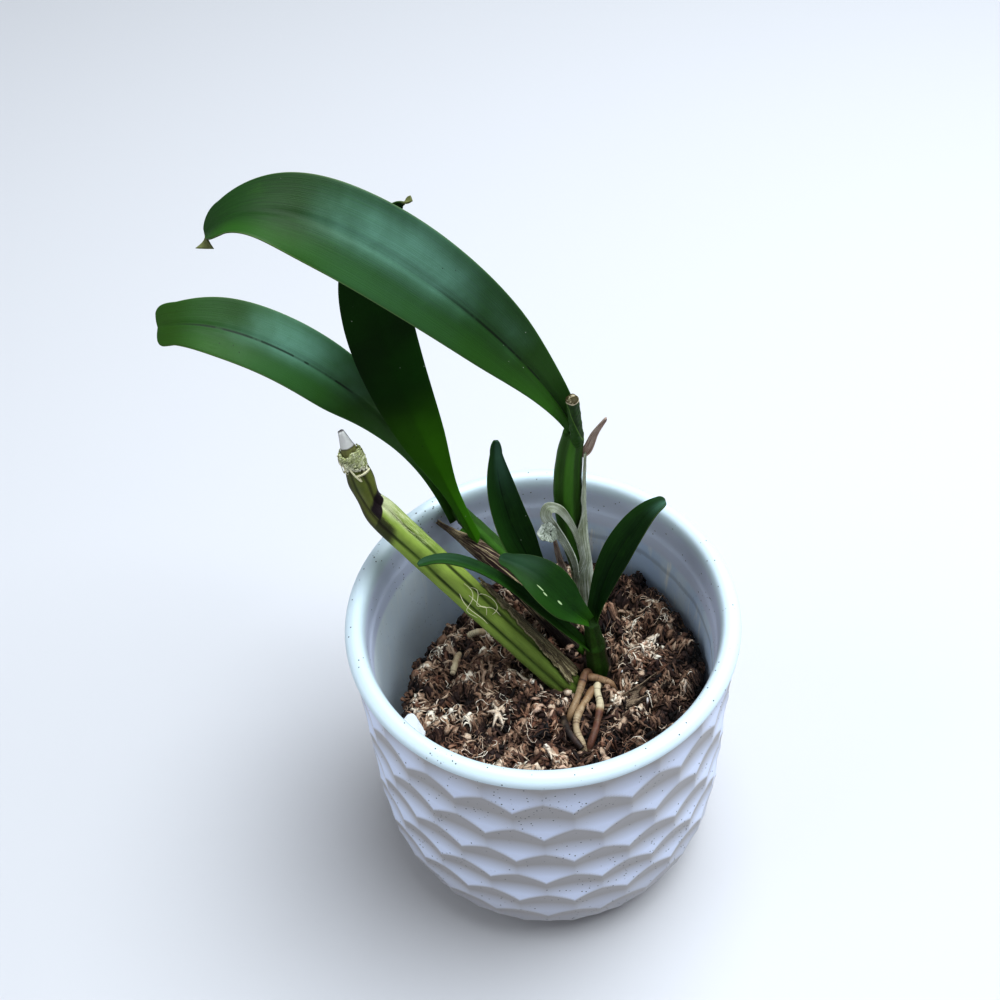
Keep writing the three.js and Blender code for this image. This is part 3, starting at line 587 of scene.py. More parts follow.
def blade(leaf, rows=120, across=30, groove=0.35):
    """A blade: at parameter t of the path and u from -1 to 1 across it, the centre minus side times u
    times half the width, plus face times the rise of the cupped margins, sin(cup) half |u|^1.3. The
    under side lies a thickness below, which falls from the midrib to the margin. Both thin out as a
    quarter circle over the last part before the margin, and a groove follows the midrib. A withered
    tip goes on along the hook, narrowing first and then flaring as s^2."""
    i = np.arange(rows + 1) / rows
    t = 1 - (1 - i) ** 1.25
    into_tip = np.clip((t - TIP_START) / (1.005 - TIP_START), 0, 1)
    stations = TIP_START * np.arange(len(leaf["half"])) / (len(leaf["half"]) - 1)
    blunt = leaf.get("blunt", 2)
    half = profile(stations, leaf["half"], t) * (1 - into_tip ** blunt) ** (1 / blunt)
    cup = CHANNEL + leaf.get("fold", 0.5) * (1 - smoothstep(t, 0, 0.25))
    midrib = lerp(leaf["middle"], BLADE_EDGE, t ** 3)
    lobe = leaf.get("notch", 0) * smoothstep(t, 0.85, 1)
    centre, along = leaf["path"](t), heading(leaf["path"], t)
    up = np.asarray(leaf["up"], float)
    s = t[:, None]
    facing = up[0] * (1 - s) ** 2 + up[1] * 2 * s * (1 - s) + up[2] * s * s
    mark = t
    if "hook" in leaf:
        hook, extra = np.asarray(leaf["hook"], float), 9
        h = np.linspace(0.15, 1, extra)
        centre = np.vstack([centre, centre[-1] + np.outer(h, hook)])
        facing = np.vstack([facing, lerp(up[2] + along[-1], np.asarray(TOWARDS_VIEWER, float), h[:, None])])
        along = np.vstack([along, np.tile(unit(hook), (extra, 1))])
        half = np.append(half, lerp(1.1, leaf.get("flare", HOOK_WIDTH), h * h))
        cup, midrib, lobe = (np.append(values, np.full(extra, value)) for values, value in (
            (cup, 0.1), (midrib, BLADE_EDGE), (lobe, 0)))
        mark = np.append(mark, 1 + 0.2 * h)
    face = unit(facing - along * np.sum(facing * along, axis=1, keepdims=True))
    side = np.cross(along, face)

    u = np.sin(np.linspace(-1, 1, across + 1) * math.pi / 2)
    half, cup, midrib, lobe = (a[:, None] for a in (half, cup, midrib, lobe))
    edge = np.sqrt(np.clip(1 - (np.clip(np.abs(u) - 0.9, 0, 1) / 0.105) ** 2, 0, 1))
    rise = np.sin(cup) * half * np.abs(u) ** 1.3
    dip = groove * midrib * np.exp(-(u * half / 0.8) ** 2) * (1 - smoothstep(mark, 0.97, 1))[:, None]
    thick = lerp(BLADE_EDGE, midrib, (1 - np.abs(u)) ** 1.2)
    upper = rise - dip - (1 - edge) * BLADE_EDGE / 2
    under = rise - thick + (1 - edge) * BLADE_EDGE / 2

    def sheet(height):
        """One side of the blade, at a height above its middle surface."""
        return (centre[:, None] - side[:, None] * (u * half * np.cos(cup))[..., None]
                + face[:, None] * height[..., None]
                + along[:, None] * (lobe * np.sin(math.pi * np.abs(u)))[..., None])
    rings = np.concatenate([sheet(upper), sheet(under)[:, ::-1]], axis=1)
    both = np.concatenate([u, u[::-1]])
    below = np.concatenate([np.zeros_like(u), np.ones_like(u)])
    return rings, {"along": mark[:, None], "across": both, "below": below}


def sheath(shape, rows=100, columns=36, ragged=0.0, seed=3):
    """A dry skin round a path: at share t and angle a between its two margins, the centre plus the
    radius times (front cos a + side sin a), with an inner side and an outer side. Its margins and its
    two ends are torn by noise, and lengthwise ribs lift it a little."""
    t = np.linspace(0, 1, rows)
    start, end = shape.get("reach", (0, 1))
    noise = np.random.default_rng(seed)
    tear = np.convolve(noise.uniform(-1, 1, rows + 8), np.ones(3) / 3, "same")[:rows] * ragged
    low = np.radians(shape["low"](t)) + tear
    high = np.radians(shape["high"](t)) + np.roll(tear, 7)
    v = np.linspace(0, 1, columns)
    angle = lerp(low[:, None], high[:, None], v)
    fringe, hem = (np.convolve(noise.uniform(0, 1, columns + 6), np.ones(2) / 2, "same")[:columns]
                   for _ in range(2))
    reach = (t[:, None] * (1 - ragged * 0.5 * fringe * smoothstep(t, 0.5, 1)[:, None])
             + (ragged * 0.6 * hem + shape.get("slant", 0) * (1 - v)) * smoothstep(t, 1, 0)[:, None] ** 2)
    flat = frames(shape["path"], lerp(start, end, reach).ravel(), shape["facing"])
    centre, front, side = (a.reshape(rows, columns, 3) for a in flat[:3])
    crinkle = 0.09 * np.sin(angle * 17 + 3 * np.sin(5 * t[:, None])) + 0.05 * np.sin(angle * 41)
    radius = shape["radius"](reach) + crinkle
    direction = front * np.cos(angle)[..., None] + side * np.sin(angle)[..., None]
    thin = SHEATH_THICKNESS * (1 - 0.75 * np.abs(2 * v - 1) ** 6) * np.ones_like(radius)
    outer = centre + direction * (radius + thin)[..., None]
    inner = (centre + direction * radius[..., None])[:, ::-1]
    rings = np.concatenate([outer, inner], axis=1)
    both = np.concatenate([v, v[::-1]])
    return rings, {"along": t[:, None], "across": both}


def flap_shell(centre, facing, radius, rows=24, columns=32):
    """A round scrap of skin: rings from its middle to its rim and back, dished by the square of the
    distance from the middle, with a wavy rim."""
    facing = unit(np.asarray(facing, float))
    first = unit(np.cross(facing, (0, 0, 1)))
    second = np.cross(facing, first)
    turn = TAU * np.arange(columns) / columns
    share = np.append(np.linspace(0.03, 1, rows // 2), np.linspace(1, 0.03, rows // 2))[:, None]
    side = np.append(np.full(rows // 2, 0.15), np.full(rows // 2, -0.15))[:, None]
    rim = radius * (1 + 0.08 * np.sin(3 * turn) + 0.05 * np.sin(7 * turn))
    height = 0.9 * share ** 2 + side + 0.35 * np.sin(2 * turn + 1) * share ** 2
    rings = (np.asarray(centre, float) + first * (share * rim * np.cos(turn))[..., None]
             + second * (share * rim * np.sin(turn))[..., None] + facing * height[..., None])
    return rings, {"along": share, "across": np.broadcast_to(0.5 + 0.3 * np.cos(turn), height.shape)}


def cane_radius(name, t):
    """Radius of a cane at share t of its path."""
    return profile(*CANES[name]["radius"], t)


SHEATHS = {
    "sheath_a": {
        "path": CANES["cane_a"]["path"], "facing": TOWARDS_VIEWER, "reach": (0.06, 0.44),
        "radius": lambda t: 6.6 + 0 * t,
        "low": lambda t: lerp(8, 62, t), "high": lambda t: lerp(165, 100, t),
    },
    "collar_a": {
        "path": CANES["cane_a"]["path"], "facing": TOWARDS_VIEWER, "reach": (0.885, 0.955),
        "radius": lambda t: (0.4 + cane_radius("cane_a", lerp(0.885, 0.955, t))
                             + 0.9 * smoothstep(t, 0.14, 0) ** 2),
        "low": lambda t: lerp(-125, -110, t), "high": lambda t: lerp(62, 115, t), "slant": 0.55,
    },
    "sheath_b": {
        "path": through((13.5, 15.5, 83.2), (-4, 28.6, 99), (-20.5, 41, 111.4), (-37.5, 51, 122.5)),
        "facing": TOWARDS_VIEWER,
        "radius": lambda t: lerp(4.2, 3.4, t),
        "low": lambda t: lerp(-172, -40, smoothstep(t, 0.5, 1)) - 20 * smoothstep(t, 0.8, 1),
        "high": lambda t: lerp(172, -25, smoothstep(t, 0.45, 1)),
    },
    "sheath_c": {
        "path": CANES["cane_c"]["path"], "facing": (0, -1, 0), "reach": (0.13, 0.94),
        "radius": lambda t: 0.65 + cane_radius("cane_c", lerp(0.13, 0.94, t)),
        "low": lambda t: (lerp(lerp(-95, -60, t / 0.28), 16, smoothstep(t, 0.28, 0.42))
                          + 34 * smoothstep(t, 0.56, 0.7) + 12 * smoothstep(t, 0.7, 1)),
        "high": lambda t: lerp(110, 80, smoothstep(t, 0.3, 1)),
    },
    "bark_curl": {
        "path": through((28, -13.8, 87.4), (36.5, -9.6, 88), (44.5, -4, 88.2)),
        "facing": (0, 0, 1), "radius": lambda t: lerp(2.4, 3, t),
        "low": lambda t: lerp(70, 50, t), "high": lambda t: 290 + 0 * t,
    },
}


# ---- Pot ----

def body_radius(z):
    """Outer radius of the pot's body: a quarter ellipse above the foot, then nearly a cylinder."""
    low = FOOT_RADIUS + (WAIST_RADIUS - FOOT_RADIUS) * np.sqrt(
        1 - (1 - np.clip(z / FOOT_ROUNDING, 0, 1)) ** 2)
    high = lerp(WAIST_RADIUS, BODY_RADIUS, (z - FOOT_ROUNDING) / (POT_HEIGHT - FOOT_ROUNDING))
    return np.where(z < FOOT_ROUNDING, low, high)


def inner_radius(z):
    """Radius of the inner wall."""
    return body_radius(z) - WALL


def pot_shell(depth, sharpness, around=420):
    """The pot: rings up the outside, over the lip, down the inner wall and across the floor. Outside,
    rows of round scoops stand like a honeycomb. At column angle and row r, each scoop's centre lies at
    a whole row less two thirds, and every second row is turned by half a scoop. A scoop's depth falls
    with the square of the distance from its centre, and where scoops meet, the nearest one counts,
    blended by the logarithm of summed exponentials of the squared distances. The slope mark is minus
    half the change of the nearest squared distance along the rows, so it is high where a scoop
    overhangs."""
    reach = 2 / 3
    row = np.linspace(LOWEST_ROW, FIRST_ROW_TOP, 126)
    column = np.arange(around) * SCOOPS_AROUND / around
    total = 0
    for r in range(LAST_ROW + 2):
        offset = column - (r % 2) / 2
        across = (offset - np.round(offset)) * reach * math.sqrt(3)
        total = total + np.exp(-sharpness * (across[None] ** 2 + (row[:, None] - (r - reach)) ** 2))
    nearest = np.clip(-np.log(total) / sharpness, 0, reach ** 2) / reach ** 2
    z = FIRST_ROW_FOOT - ROW_DROP * row + ROW_EASING * row ** 2
    scoops = depth * (1 - nearest) * smoothstep(z, 0, 8)[:, None]
    wall = body_radius(z)[:, None] - scoops
    angle = FRONT_SCOOP + TAU * (np.arange(around) - around / SCOOPS_AROUND / 2) / around

    def even(pairs):
        """Round rings from radii and heights."""
        pairs = np.asarray(pairs, float)
        return np.repeat(pairs[:, 0, None], around, axis=1), pairs[:, 1]
    down = [(inner_radius(h), h) for h in INNER_HEIGHTS]
    floor = [(inner_radius(FLOOR) - 4, FLOOR)] + [(r, FLOOR) for r in FLOOR_RADII]
    parts = [even(FOOT_PROFILE), (wall, z), even(through(*LIP_PROFILE)(np.linspace(0, 1, 41))),
             even(down), even(floor)]
    radius = np.vstack([part[0] for part in parts])
    height = np.concatenate([part[1] for part in parts])
    inside = np.concatenate([np.full(len(part[1]), value) for part, value in zip(parts, (0, 0, 0, 1, 1))])
    rings = np.stack([radius * np.cos(angle), radius * np.sin(angle),
                      np.broadcast_to(height[:, None], radius.shape)], axis=-1)
    slope = np.gradient(nearest, row, axis=0) * -0.5 * smoothstep(z, 0, 8)[:, None]
    below, above = len(FOOT_PROFILE), len(radius) - len(FOOT_PROFILE) - len(row)
    slope = np.vstack([np.zeros((below, around)), slope, np.full((above, around), LIP_SLOPE)])
    return rings, {"inside": inside[:, None], "slope": slope}


# ---- Growing medium ----

def clump_radius(angle):
    """Plan of the clump: a circle drawn back on one side by a bell curve, with small waves."""
    turn = (angle - RETREAT_ANGLE + math.pi) % TAU - math.pi
    return (CLUMP_RADIUS - CLUMP_RETREAT * np.exp(-(turn / RETREAT_SPREAD) ** 2)
            + 0.7 * np.sin(7 * angle) + 0.5 * np.sin(17 * angle + 1))


def ground(x, y):
    """Height of the clump's top: slow waves, a bank that rises to the back right, and a hollow."""
    return (SURFACE + 1.7 * np.sin(0.41 * x + 1.3) * np.cos(0.36 * y - 0.4)
            + 1.2 * np.sin(0.63 * x - 0.58 * y + 2) + 4.6 * smoothstep(0.8 * x + 0.6 * y, 5, 55)
            - 6 * np.exp(-((x - 34) ** 2 + (y - 27) ** 2) / 30))


def root_distance(x, y):
    """Distance in plan from the nearest live root, over places along each of them."""
    axes = np.vstack([through(*points)(np.linspace(0.3, 1, 40)) for points in LIVE_ROOTS])
    distance = np.full(np.shape(x), 99.0)
    for place in axes:
        distance = np.minimum(distance, np.hypot(x - place[0], y - place[1]))
    return distance


def relief(x, y):
    """The crumbly relief on the ground: smooth noise of three sizes, which sinks into a trough under
    the live roots."""
    sizes = ((1.9, 7), (1.5, 3.1), (0.7, 1.5))
    rough = sum(high * value_noise(x, y, size, 1 + k) for k, (high, size) in enumerate(sizes))
    trough = smoothstep(root_distance(x, y), 4.5, 1.5)
    return rough * (1 - 0.7 * trough) - 1.6 * trough


def clump_shell(height, around=300):
    """The clump: rings from its foot up its side and in over its top to the middle."""
    angle = TAU * np.arange(around) / around
    edge = clump_radius(angle)
    foot = np.full(around, inner_radius(FLOOR) - 8)
    sides = [(FLOOR + GAP, foot)]
    sides += [(z, np.minimum(edge + 1, inner_radius(z) - inset)) for z, inset in CLUMP_SIDE]
    rings = [np.stack([r * np.cos(angle), r * np.sin(angle), np.full(around, z)], axis=-1) for z, r in sides]
    for share in np.linspace(1, 0.02, 84):
        x, y = edge * share * np.cos(angle), edge * share * np.sin(angle)
        z = ground(x, y) - EDGE_DROP * smoothstep(share, 0.88, 1.05)
        z = z + height * relief(x, y) * smoothstep(share, 1.02, 0.94)
        rings.append(np.stack([x, y, z], axis=-1))
    return np.array(rings), {"tone": 0.5}


def keep_clear(centres, margin):
    """Which strands stay clear of the stems and the live roots: no place of them comes within a
    stem's radius and the margin of its axis."""
    free = np.ones(len(centres), bool)
    t = np.linspace(0, 0.6, 60)
    axes = [(cane["path"](by_length(cane["path"], t)), profile(*cane["radius"], t) + margin)
            for cane in CANES.values()]
    axes += [(through(*points)(np.linspace(0.3, 0.97, 40)), np.full(40, 1.9)) for points in LIVE_ROOTS]
    for axis, radius in axes:
        for k in range(centres.shape[1]):
            distance = np.linalg.norm(centres[:, k, None] - axis[None], axis=-1)
            free &= (distance > radius[None]).all(axis=1)
    return free


def litter(kind, where):
    """Curly strands strewn on the clump in tufts, whose strands share a place, a heading, a curl and a
    tone, each with a small deviation. A strand follows a heading that turns by its curl, at the
    ground's height plus a lift, arched by sin(pi s). `where` is the middle and the spread of a patch,
    or None for the whole clump. Gives centres, directions across and tones."""
    count, tuft, steps, curl = kind["count"], kind.get("tuft", 1), kind["steps"], kind["curl"]
    draw = np.random.default_rng(kind["seed"])
    angle, share = draw.uniform(0, TAU, count), np.sqrt(draw.uniform(0, 1, count)) * 0.985
    edge = clump_radius(angle) * share
    if where is None:
        x, y = edge * np.cos(angle), edge * np.sin(angle)
    else:
        x, y = (draw.normal(0, where[2], count) + middle for middle in where[:2])
    turn, bend = draw.uniform(0, TAU, count), draw.normal(0, curl, count)
    tone = draw.uniform(0, 1, count)
    leader = np.arange(count) // tuft * tuft
    x, y = (a[leader] + draw.normal(0, 1.1, count) * (tuft > 1) for a in (x, y))
    turn = turn[leader] + draw.normal(0, 0.35, count)
    bend = bend[leader] + draw.normal(0, 0.4, count)
    tone = tone[leader] * 0.7 + tone * 0.3
    s = np.linspace(0, 1, steps)
    long = draw.uniform(*kind["length"], count)
    way = (turn[:, None] + bend[:, None] * s
           + draw.normal(0, curl / 3, count)[:, None] * np.sin(2.7 * math.pi * s))
    step = long[:, None] / (steps - 1)
    px = x[:, None] + np.cumsum(np.cos(way) * step, axis=1) - np.cos(way) * step
    py = y[:, None] + np.cumsum(np.sin(way) * step, axis=1) - np.sin(way) * step
    limit = clump_radius(np.arctan2(py, px)) + 0.3
    pull = np.minimum(1, limit / np.maximum(np.hypot(px, py), 1e-6))
    px, py = px * pull, py * pull
    near_edge = smoothstep(np.hypot(px, py) / limit, 0.88, 1.05)
    base = ground(px, py) + relief(px, py) - EDGE_DROP * near_edge
    tilt = draw.normal(0, 0.25, count)[:, None] * (s - 0.5) * long[:, None]
    lift = draw.uniform(*kind["lift"], count)[:, None]
    bow = draw.uniform(0, kind["arch"], count)[:, None] * np.sin(math.pi * s)
    pz = np.maximum(base + lift + bow + tilt, base - 1.5)
    centres = np.stack([px, py, pz], axis=-1)
    across = np.stack([-np.sin(way[:, 0]), np.cos(way[:, 0]), draw.normal(0, 0.6, count)], axis=-1)
    free = keep_clear(centres, LITTER_MARGIN)
    return centres[free], across[free], tone[free]


def strew(name, kind, where=None):
    """A piece of strewn strands. Their tones are random around slow noise over the plan, so that light
    and dark strands lie in patches, and they fall towards the ground, which leaves the gaps dark."""
    centres, across, shade = litter(kind, where)
    draw = np.random.default_rng(kind["seed"] + 100)
    left, steps = centres.shape[:2]
    s = np.linspace(0, 1, steps)
    taper = 0.35 + 0.65 * np.sin(math.pi * (0.08 + 0.84 * s)) ** 0.7
    widths = draw.uniform(*kind["width"], left)[:, None] * taper * draw.uniform(0.8, 1.2, (left, steps))
    x, y, z = centres[:, steps // 2].T
    patch = value_noise(x, y, 9, 11) * 0.5 + value_noise(x, y, 4, 12) * 0.5
    # Painted shade: strands that lie low, near the ground, get a darker tone
    painted_height_shade = (z - ground(x, y)) * 0.09
    tone = np.clip(lerp(*kind["tones"], shade) + 0.4 * patch + painted_height_shade - 0.002 * x, 0, 1)
    warm = np.clip(0.5 + 0.5 * value_noise(x, y, 15, 13) + draw.normal(0, 0.2, left), 0, 1)
    thickness = widths * draw.uniform(*kind["thick"], left)[:, None]
    return strands(name, centres, widths, thickness, across, tone=tone, warm=warm)


# Litter strewn on the clump: how many strands there are (the moss has a setting for that), in how many
# steps, and ranges of their length, width and height above the ground. thick is a range of shares of
# the width, arch is how far a strand bows up, and tones run from dark at 0 to light at 1.
LITTER = {
    "moss_strands": {
        "steps": 5, "length": (2.4, 6), "width": (0.6, 1.7), "thick": (0.3, 0.7), "curl": 1.5,
        "lift": (-0.4, 2.2), "arch": 1.2, "seed": 21, "tones": (0, 0.6), "tuft": 9},
    "bark_shreds": {
        "count": 2400, "steps": 4, "length": (2.5, 7), "width": (1.1, 2.8), "thick": (0.25, 0.5),
        "curl": 0.5, "lift": (-0.8, 1.4), "arch": 0.6, "seed": 22, "tones": (0, 0.55), "tuft": 2},
    "dark_crumbs": {
        "count": 3200, "steps": 3, "length": (1.2, 3), "width": (0.9, 1.9), "thick": (0.6, 1),
        "curl": 0.4, "lift": (-0.4, 1), "arch": 0.4, "seed": 23, "tones": (0, 0.5)},
    "pale_fibres": {
        "count": 230, "steps": 12, "length": (5, 16), "width": (0.2, 0.36), "thick": (0.7, 1),
        "curl": 3, "lift": (0.4, 2.4), "arch": 2.2, "seed": 24, "tones": (0.4, 0.9), "tuft": 3},
    "fine_fibres": {
        "count": 2200, "steps": 5, "length": (1.5, 4.5), "width": (0.2, 0.5), "thick": (0.6, 1),
        "curl": 1.8, "lift": (0.2, 2.2), "arch": 1, "seed": 26, "tones": (0.2, 0.85), "tuft": 4},
    "moss_flakes": {
        "count": 900, "steps": 4, "length": (2, 4.5), "width": (1.8, 3.6), "thick": (0.1, 0.16),
        "curl": 0.8, "lift": (0.3, 2.2), "arch": 0.8, "seed": 25, "tones": (0.1, 0.75), "tuft": 3},
}
BARK_LITTER = ("bark_shreds", "dark_crumbs")
GRAINS = {
    "count": 8, "steps": 3, "length": (1, 1.8), "width": (1, 1.6), "thick": (0.7, 1), "curl": 0.2,
    "lift": (0.8, 1.8), "arch": 0.2, "seed": 61, "tones": (0.4, 1)}
PALE_PATCH = {
    "steps": 4, "length": (1.6, 4.2), "width": (0.6, 1.7), "thick": (0.2, 0.5), "curl": 1.2,
    "lift": (0.6, 2), "arch": 0.8, "tones": (0.6, 0.95)}
# Middle and spread of each pale patch, and how many strands it has
PALE_PATCHES = (
    (-17.6, -16.2, 2.2, 40), (37, 12.3, 3, 90), (40.3, 7.5, 2.6, 70), (27.8, -8.6, 2.4, 60),
    (-46.6, -11.3, 2.4, 40), (-3.5, -2, 2, 30),
)
STAR_CENTRE = (-17.6, -16.2, 88)
LITTER_MARGIN = 1.0


def rays(centre, count, length, seed, steps=6):
    """Thick strands that spread from a centre like a star, each drooping with the square of s."""
    draw = np.random.default_rng(seed)
    turn = TAU * (np.arange(count) + draw.uniform(-0.3, 0.3, count)) / count
    s, long = np.linspace(0, 1, steps), draw.uniform(*length, count)[:, None]
    out = np.stack([np.cos(turn), np.sin(turn)], axis=-1)
    height = 1.2 * s - 2.6 * s * s + draw.uniform(-0.3, 0.5, (count, 1)) * s
    spread = np.concatenate([out[:, None] * (s * long)[..., None], height[..., None]], axis=-1)
    across = np.stack([-out[:, 1], out[:, 0], np.zeros(count)], axis=-1)
    return np.asarray(centre, float) + spread, across


# ---- Roots ----

RHIZOME = {
    "path": through((7, -11, 66), (15, -6, 67), (19, 2, 67.5), (19, 12, 67.5), (19, 24, 67), (18.5, 33, 66)),
    "radius": ((0, 0.1, 0.3, 0.5, 0.7, 0.9, 1), (4.8, 5.2, 4, 5.2, 4, 5.2, 4.8)), "facing": (0, 0, 1),
}
LIVE_ROOTS = (
    ((17.5, -3, 68), (20.6, 0.5, 77), (18, 1.2, 84), (15.8, -0.2, 88.4), (14.2, -4.4, 88.4),
     (12, -10.6, 87.4), (9.2, -16.6, 85.4), (8, -18.5, 82)),
    ((18.5, -6.5, 72), (20.6, -6, 80), (18.2, -6.3, 85.6), (15.4, -10.8, 86), (13.2, -14.8, 86.6),
     (11.2, -19.6, 86.4), (11, -24.4, 86), (12.8, -29.4, 84.6), (13.6, -31.4, 81.5)),
    ((19.5, -5, 68), (21.6, -4, 77), (19.8, -4.6, 85.6), (19.4, -8, 86.6), (20.2, -13.4, 86.8),
     (19.4, -17.8, 86.4), (18, -23.4, 86), (15.8, -29, 84.4), (15, -31, 81)),
    ((15, 4, 69), (15.4, 0.5, 79), (16.2, -2.2, 87.4), (19.2, -2.4, 87.6), (22.1, -3.2, 87),
     (24.8, -4.8, 86.4), (26, -5.6, 83)),
)
OLD_ROOTS = (
    ((-32.5, 14, 83), (-33.6, 8, 86.6), (-34.6, 2, 87.2)),
    ((-30, 21, 84), (-25.5, 21.3, 87), (-21, 21.4, 86.6)),
    ((6.4, -17.5, 84.5), (7.2, -22.6, 86.6), (9, -27, 87), (12.6, -31.4, 85.4)),
)


# Hairs and torn curls on the bare cane: where each starts and ends (share of the path, degrees), how
# far it bows out, seed, steps, its width over a half turn from end to end, and thickness by width
HAIRS = {
    "fibre_loops": (
        ((0.35, -30), (0.37, -10), (0.34, 20), (0.36, 5), (0.38, -40)),
        ((0.46, -20), (0.45, 20), (0.44, -5), (0.42, 40), (0.47, 10)),
        1.5, 31, 22, lambda turn: 0.25 + 0 * turn, 1),
    "torn_curls": (
        ((0.94, -112), (0.934, -100), (0.926, -84), (0.92, -66), (0.908, -30), (0.892, 14)),
        ((0.925, -90), (0.922, -74), (0.912, -52), (0.904, -34), (0.888, 10), (0.894, 40)),
        0.9, 35, 14, lambda turn: 0.5 + 0.5 * np.sin(turn), 0.3),
}


def root(points, tone, thick=(1.6, 1.5, 1.35, 1.5, 1.3, 1.5, 1.25, 1.4, 1.1), rows=90):
    """A root: a knobbly stem along its points, through radii at even shares, with a mark for its tone,
    which changes from the first to the second at three fifths."""
    rings, marks = stem({"path": through(*points), "radius": (np.linspace(0, 1, len(thick)), thick),
                         "facing": (1, 1, 0)}, rows, 16)
    return rings, {"along": marks["along"], "tone": lerp(*tone, smoothstep(marks["along"], 0.6, 0.66))}


def hairs(cane, starts, ends, bulge, seed, steps=22):
    """Thin hairs on a stem. starts and ends are shares of its path with angles in degrees. Between
    them a hair runs straight on the unrolled surface, plus two waves of random size, and it stands
    off by the bulge times sin(pi s)."""
    draw = np.random.default_rng(seed)
    starts, ends = np.asarray(starts, float), np.asarray(ends, float)
    count, s = len(starts), np.linspace(0, 1, steps)
    sway = draw.normal(0, 0.012, (count, 1)) * np.sin(math.pi * s * 2)
    share = np.clip(lerp(starts[:, :1], ends[:, :1], s) + sway, 0, 1)
    swing = draw.normal(0, 14, (count, 1)) * np.sin(math.pi * s * draw.uniform(1, 3, (count, 1)))
    turn = np.radians(lerp(starts[:, 1:], ends[:, 1:], s) + swing)
    parts = frames(cane["path"], share.ravel(), cane["facing"])[:3]
    centre, front, side = (a.reshape(count, steps, 3) for a in parts)
    radius = profile(*cane["radius"], share.ravel()).reshape(count, steps)
    radius = radius + 0.25 + bulge * np.sin(math.pi * s)
    out = front * np.cos(turn)[..., None] + side * np.sin(turn)[..., None]
    return centre + out * radius[..., None], np.cross(out[:, 0], draw.normal(0, 1, (count, 3)))


# ---- Finishes of this plant and pot ----

def seen(red, green, blue):
    """A linear colour from display values between 0 and 255."""
    return tuple(((c / 255 + 0.055) / 1.055) ** 2.4 if c > 10 else c / 3294 for c in (red, green, blue))


def scaled(colour, share):
    """A colour times a share."""
    return tuple(c * share for c in colour)


def glaze_finish(settings):
    """Pale glaze, with painted shade in a warm grey where a scoop overhangs and low down, a tint of its
    own on the lip, and dark specks in clusters. The inner wall has rubbed streaks, painted light that
    makes it palest at its left, and a faint line that water has left."""
    f = Finish("pale_speckled_glaze", Roughness=0.42)
    place = f.place()
    x, y, z = f.split(place)
    inside = f.mark("inside").rise(0.35, 0.65)
    cloud = f.noise(place, 45, 3)
    # Painted shade: a warm grey laid on each scoop's overhanging half, and low down near the foot
    overhang = ((f.mark("slope") + 0.95) / 1.15).clipped()
    outside = f.layers(
        settings.glaze,
        (overhang, settings.glaze_shade),
        (z.rise(0.05, 0.01) * 0.85, settings.glaze_shade),
        (z.rise(0.121, 0.126), settings.lip))
    streak = f.noise(f.vector(x, y, z * 0.1), 420, 4, 0.65)
    smear = f.noise(f.vector(x, y, z * 0.4), 60, 4, 0.6)
    level = z + smear * 0.006
    line = level.rise(0.1005, 0.1018) * level.rise(0.1048, 0.1025) * x.rise(-0.01, 0.02)
    wall = f.layers(
        settings.inner_dark,
        (smear.rise(0.35, 0.68), settings.inner_light),
        (cloud.rise(0.55, 0.75) * 0.35, seen(186, 178, 172)),
        (streak.rise(0.54, 0.66) * smear.rise(0.36, 0.62), seen(252, 254, 255)),
        # Painted light: paler towards the left, where the lamp at the right shines on the inner wall
        (x.rise(-0.015, -0.055) * 0.8, seen(240, 250, 255)),
        (line * 0.35, seen(118, 134, 150)))
    density = MM_PER_M / settings.speck_spacing
    choice = f.add("ShaderNodeTexWhiteNoise", {}, Vector=f.cells(place, density, CELL_PLACE))
    cluster = f.noise(place, 38, 2).rise(0.48, 0.68)
    back = y.rise(-0.02, 0.05) * z.rise(0.1, 0.12) + x.rise(0.02, 0.06) * 0.6
    chosen = (choice + cluster * (0.74 + back * 0.24)).rise(0.84, 0.9)
    speck = f.cells(place, density).rise(0.2, 0.11) * chosen * (1 - inside * 0.7)
    f.set(Base_Color=f.layers(outside, (inside, wall), (speck, settings.speck)),
          Roughness=0.4 + speck * 0.2 + inside * 0.15)
    f.bump(cloud * 0.5 + f.noise(place, 1500, 2) * 0.5, 0.00012, 0.5)
    return f


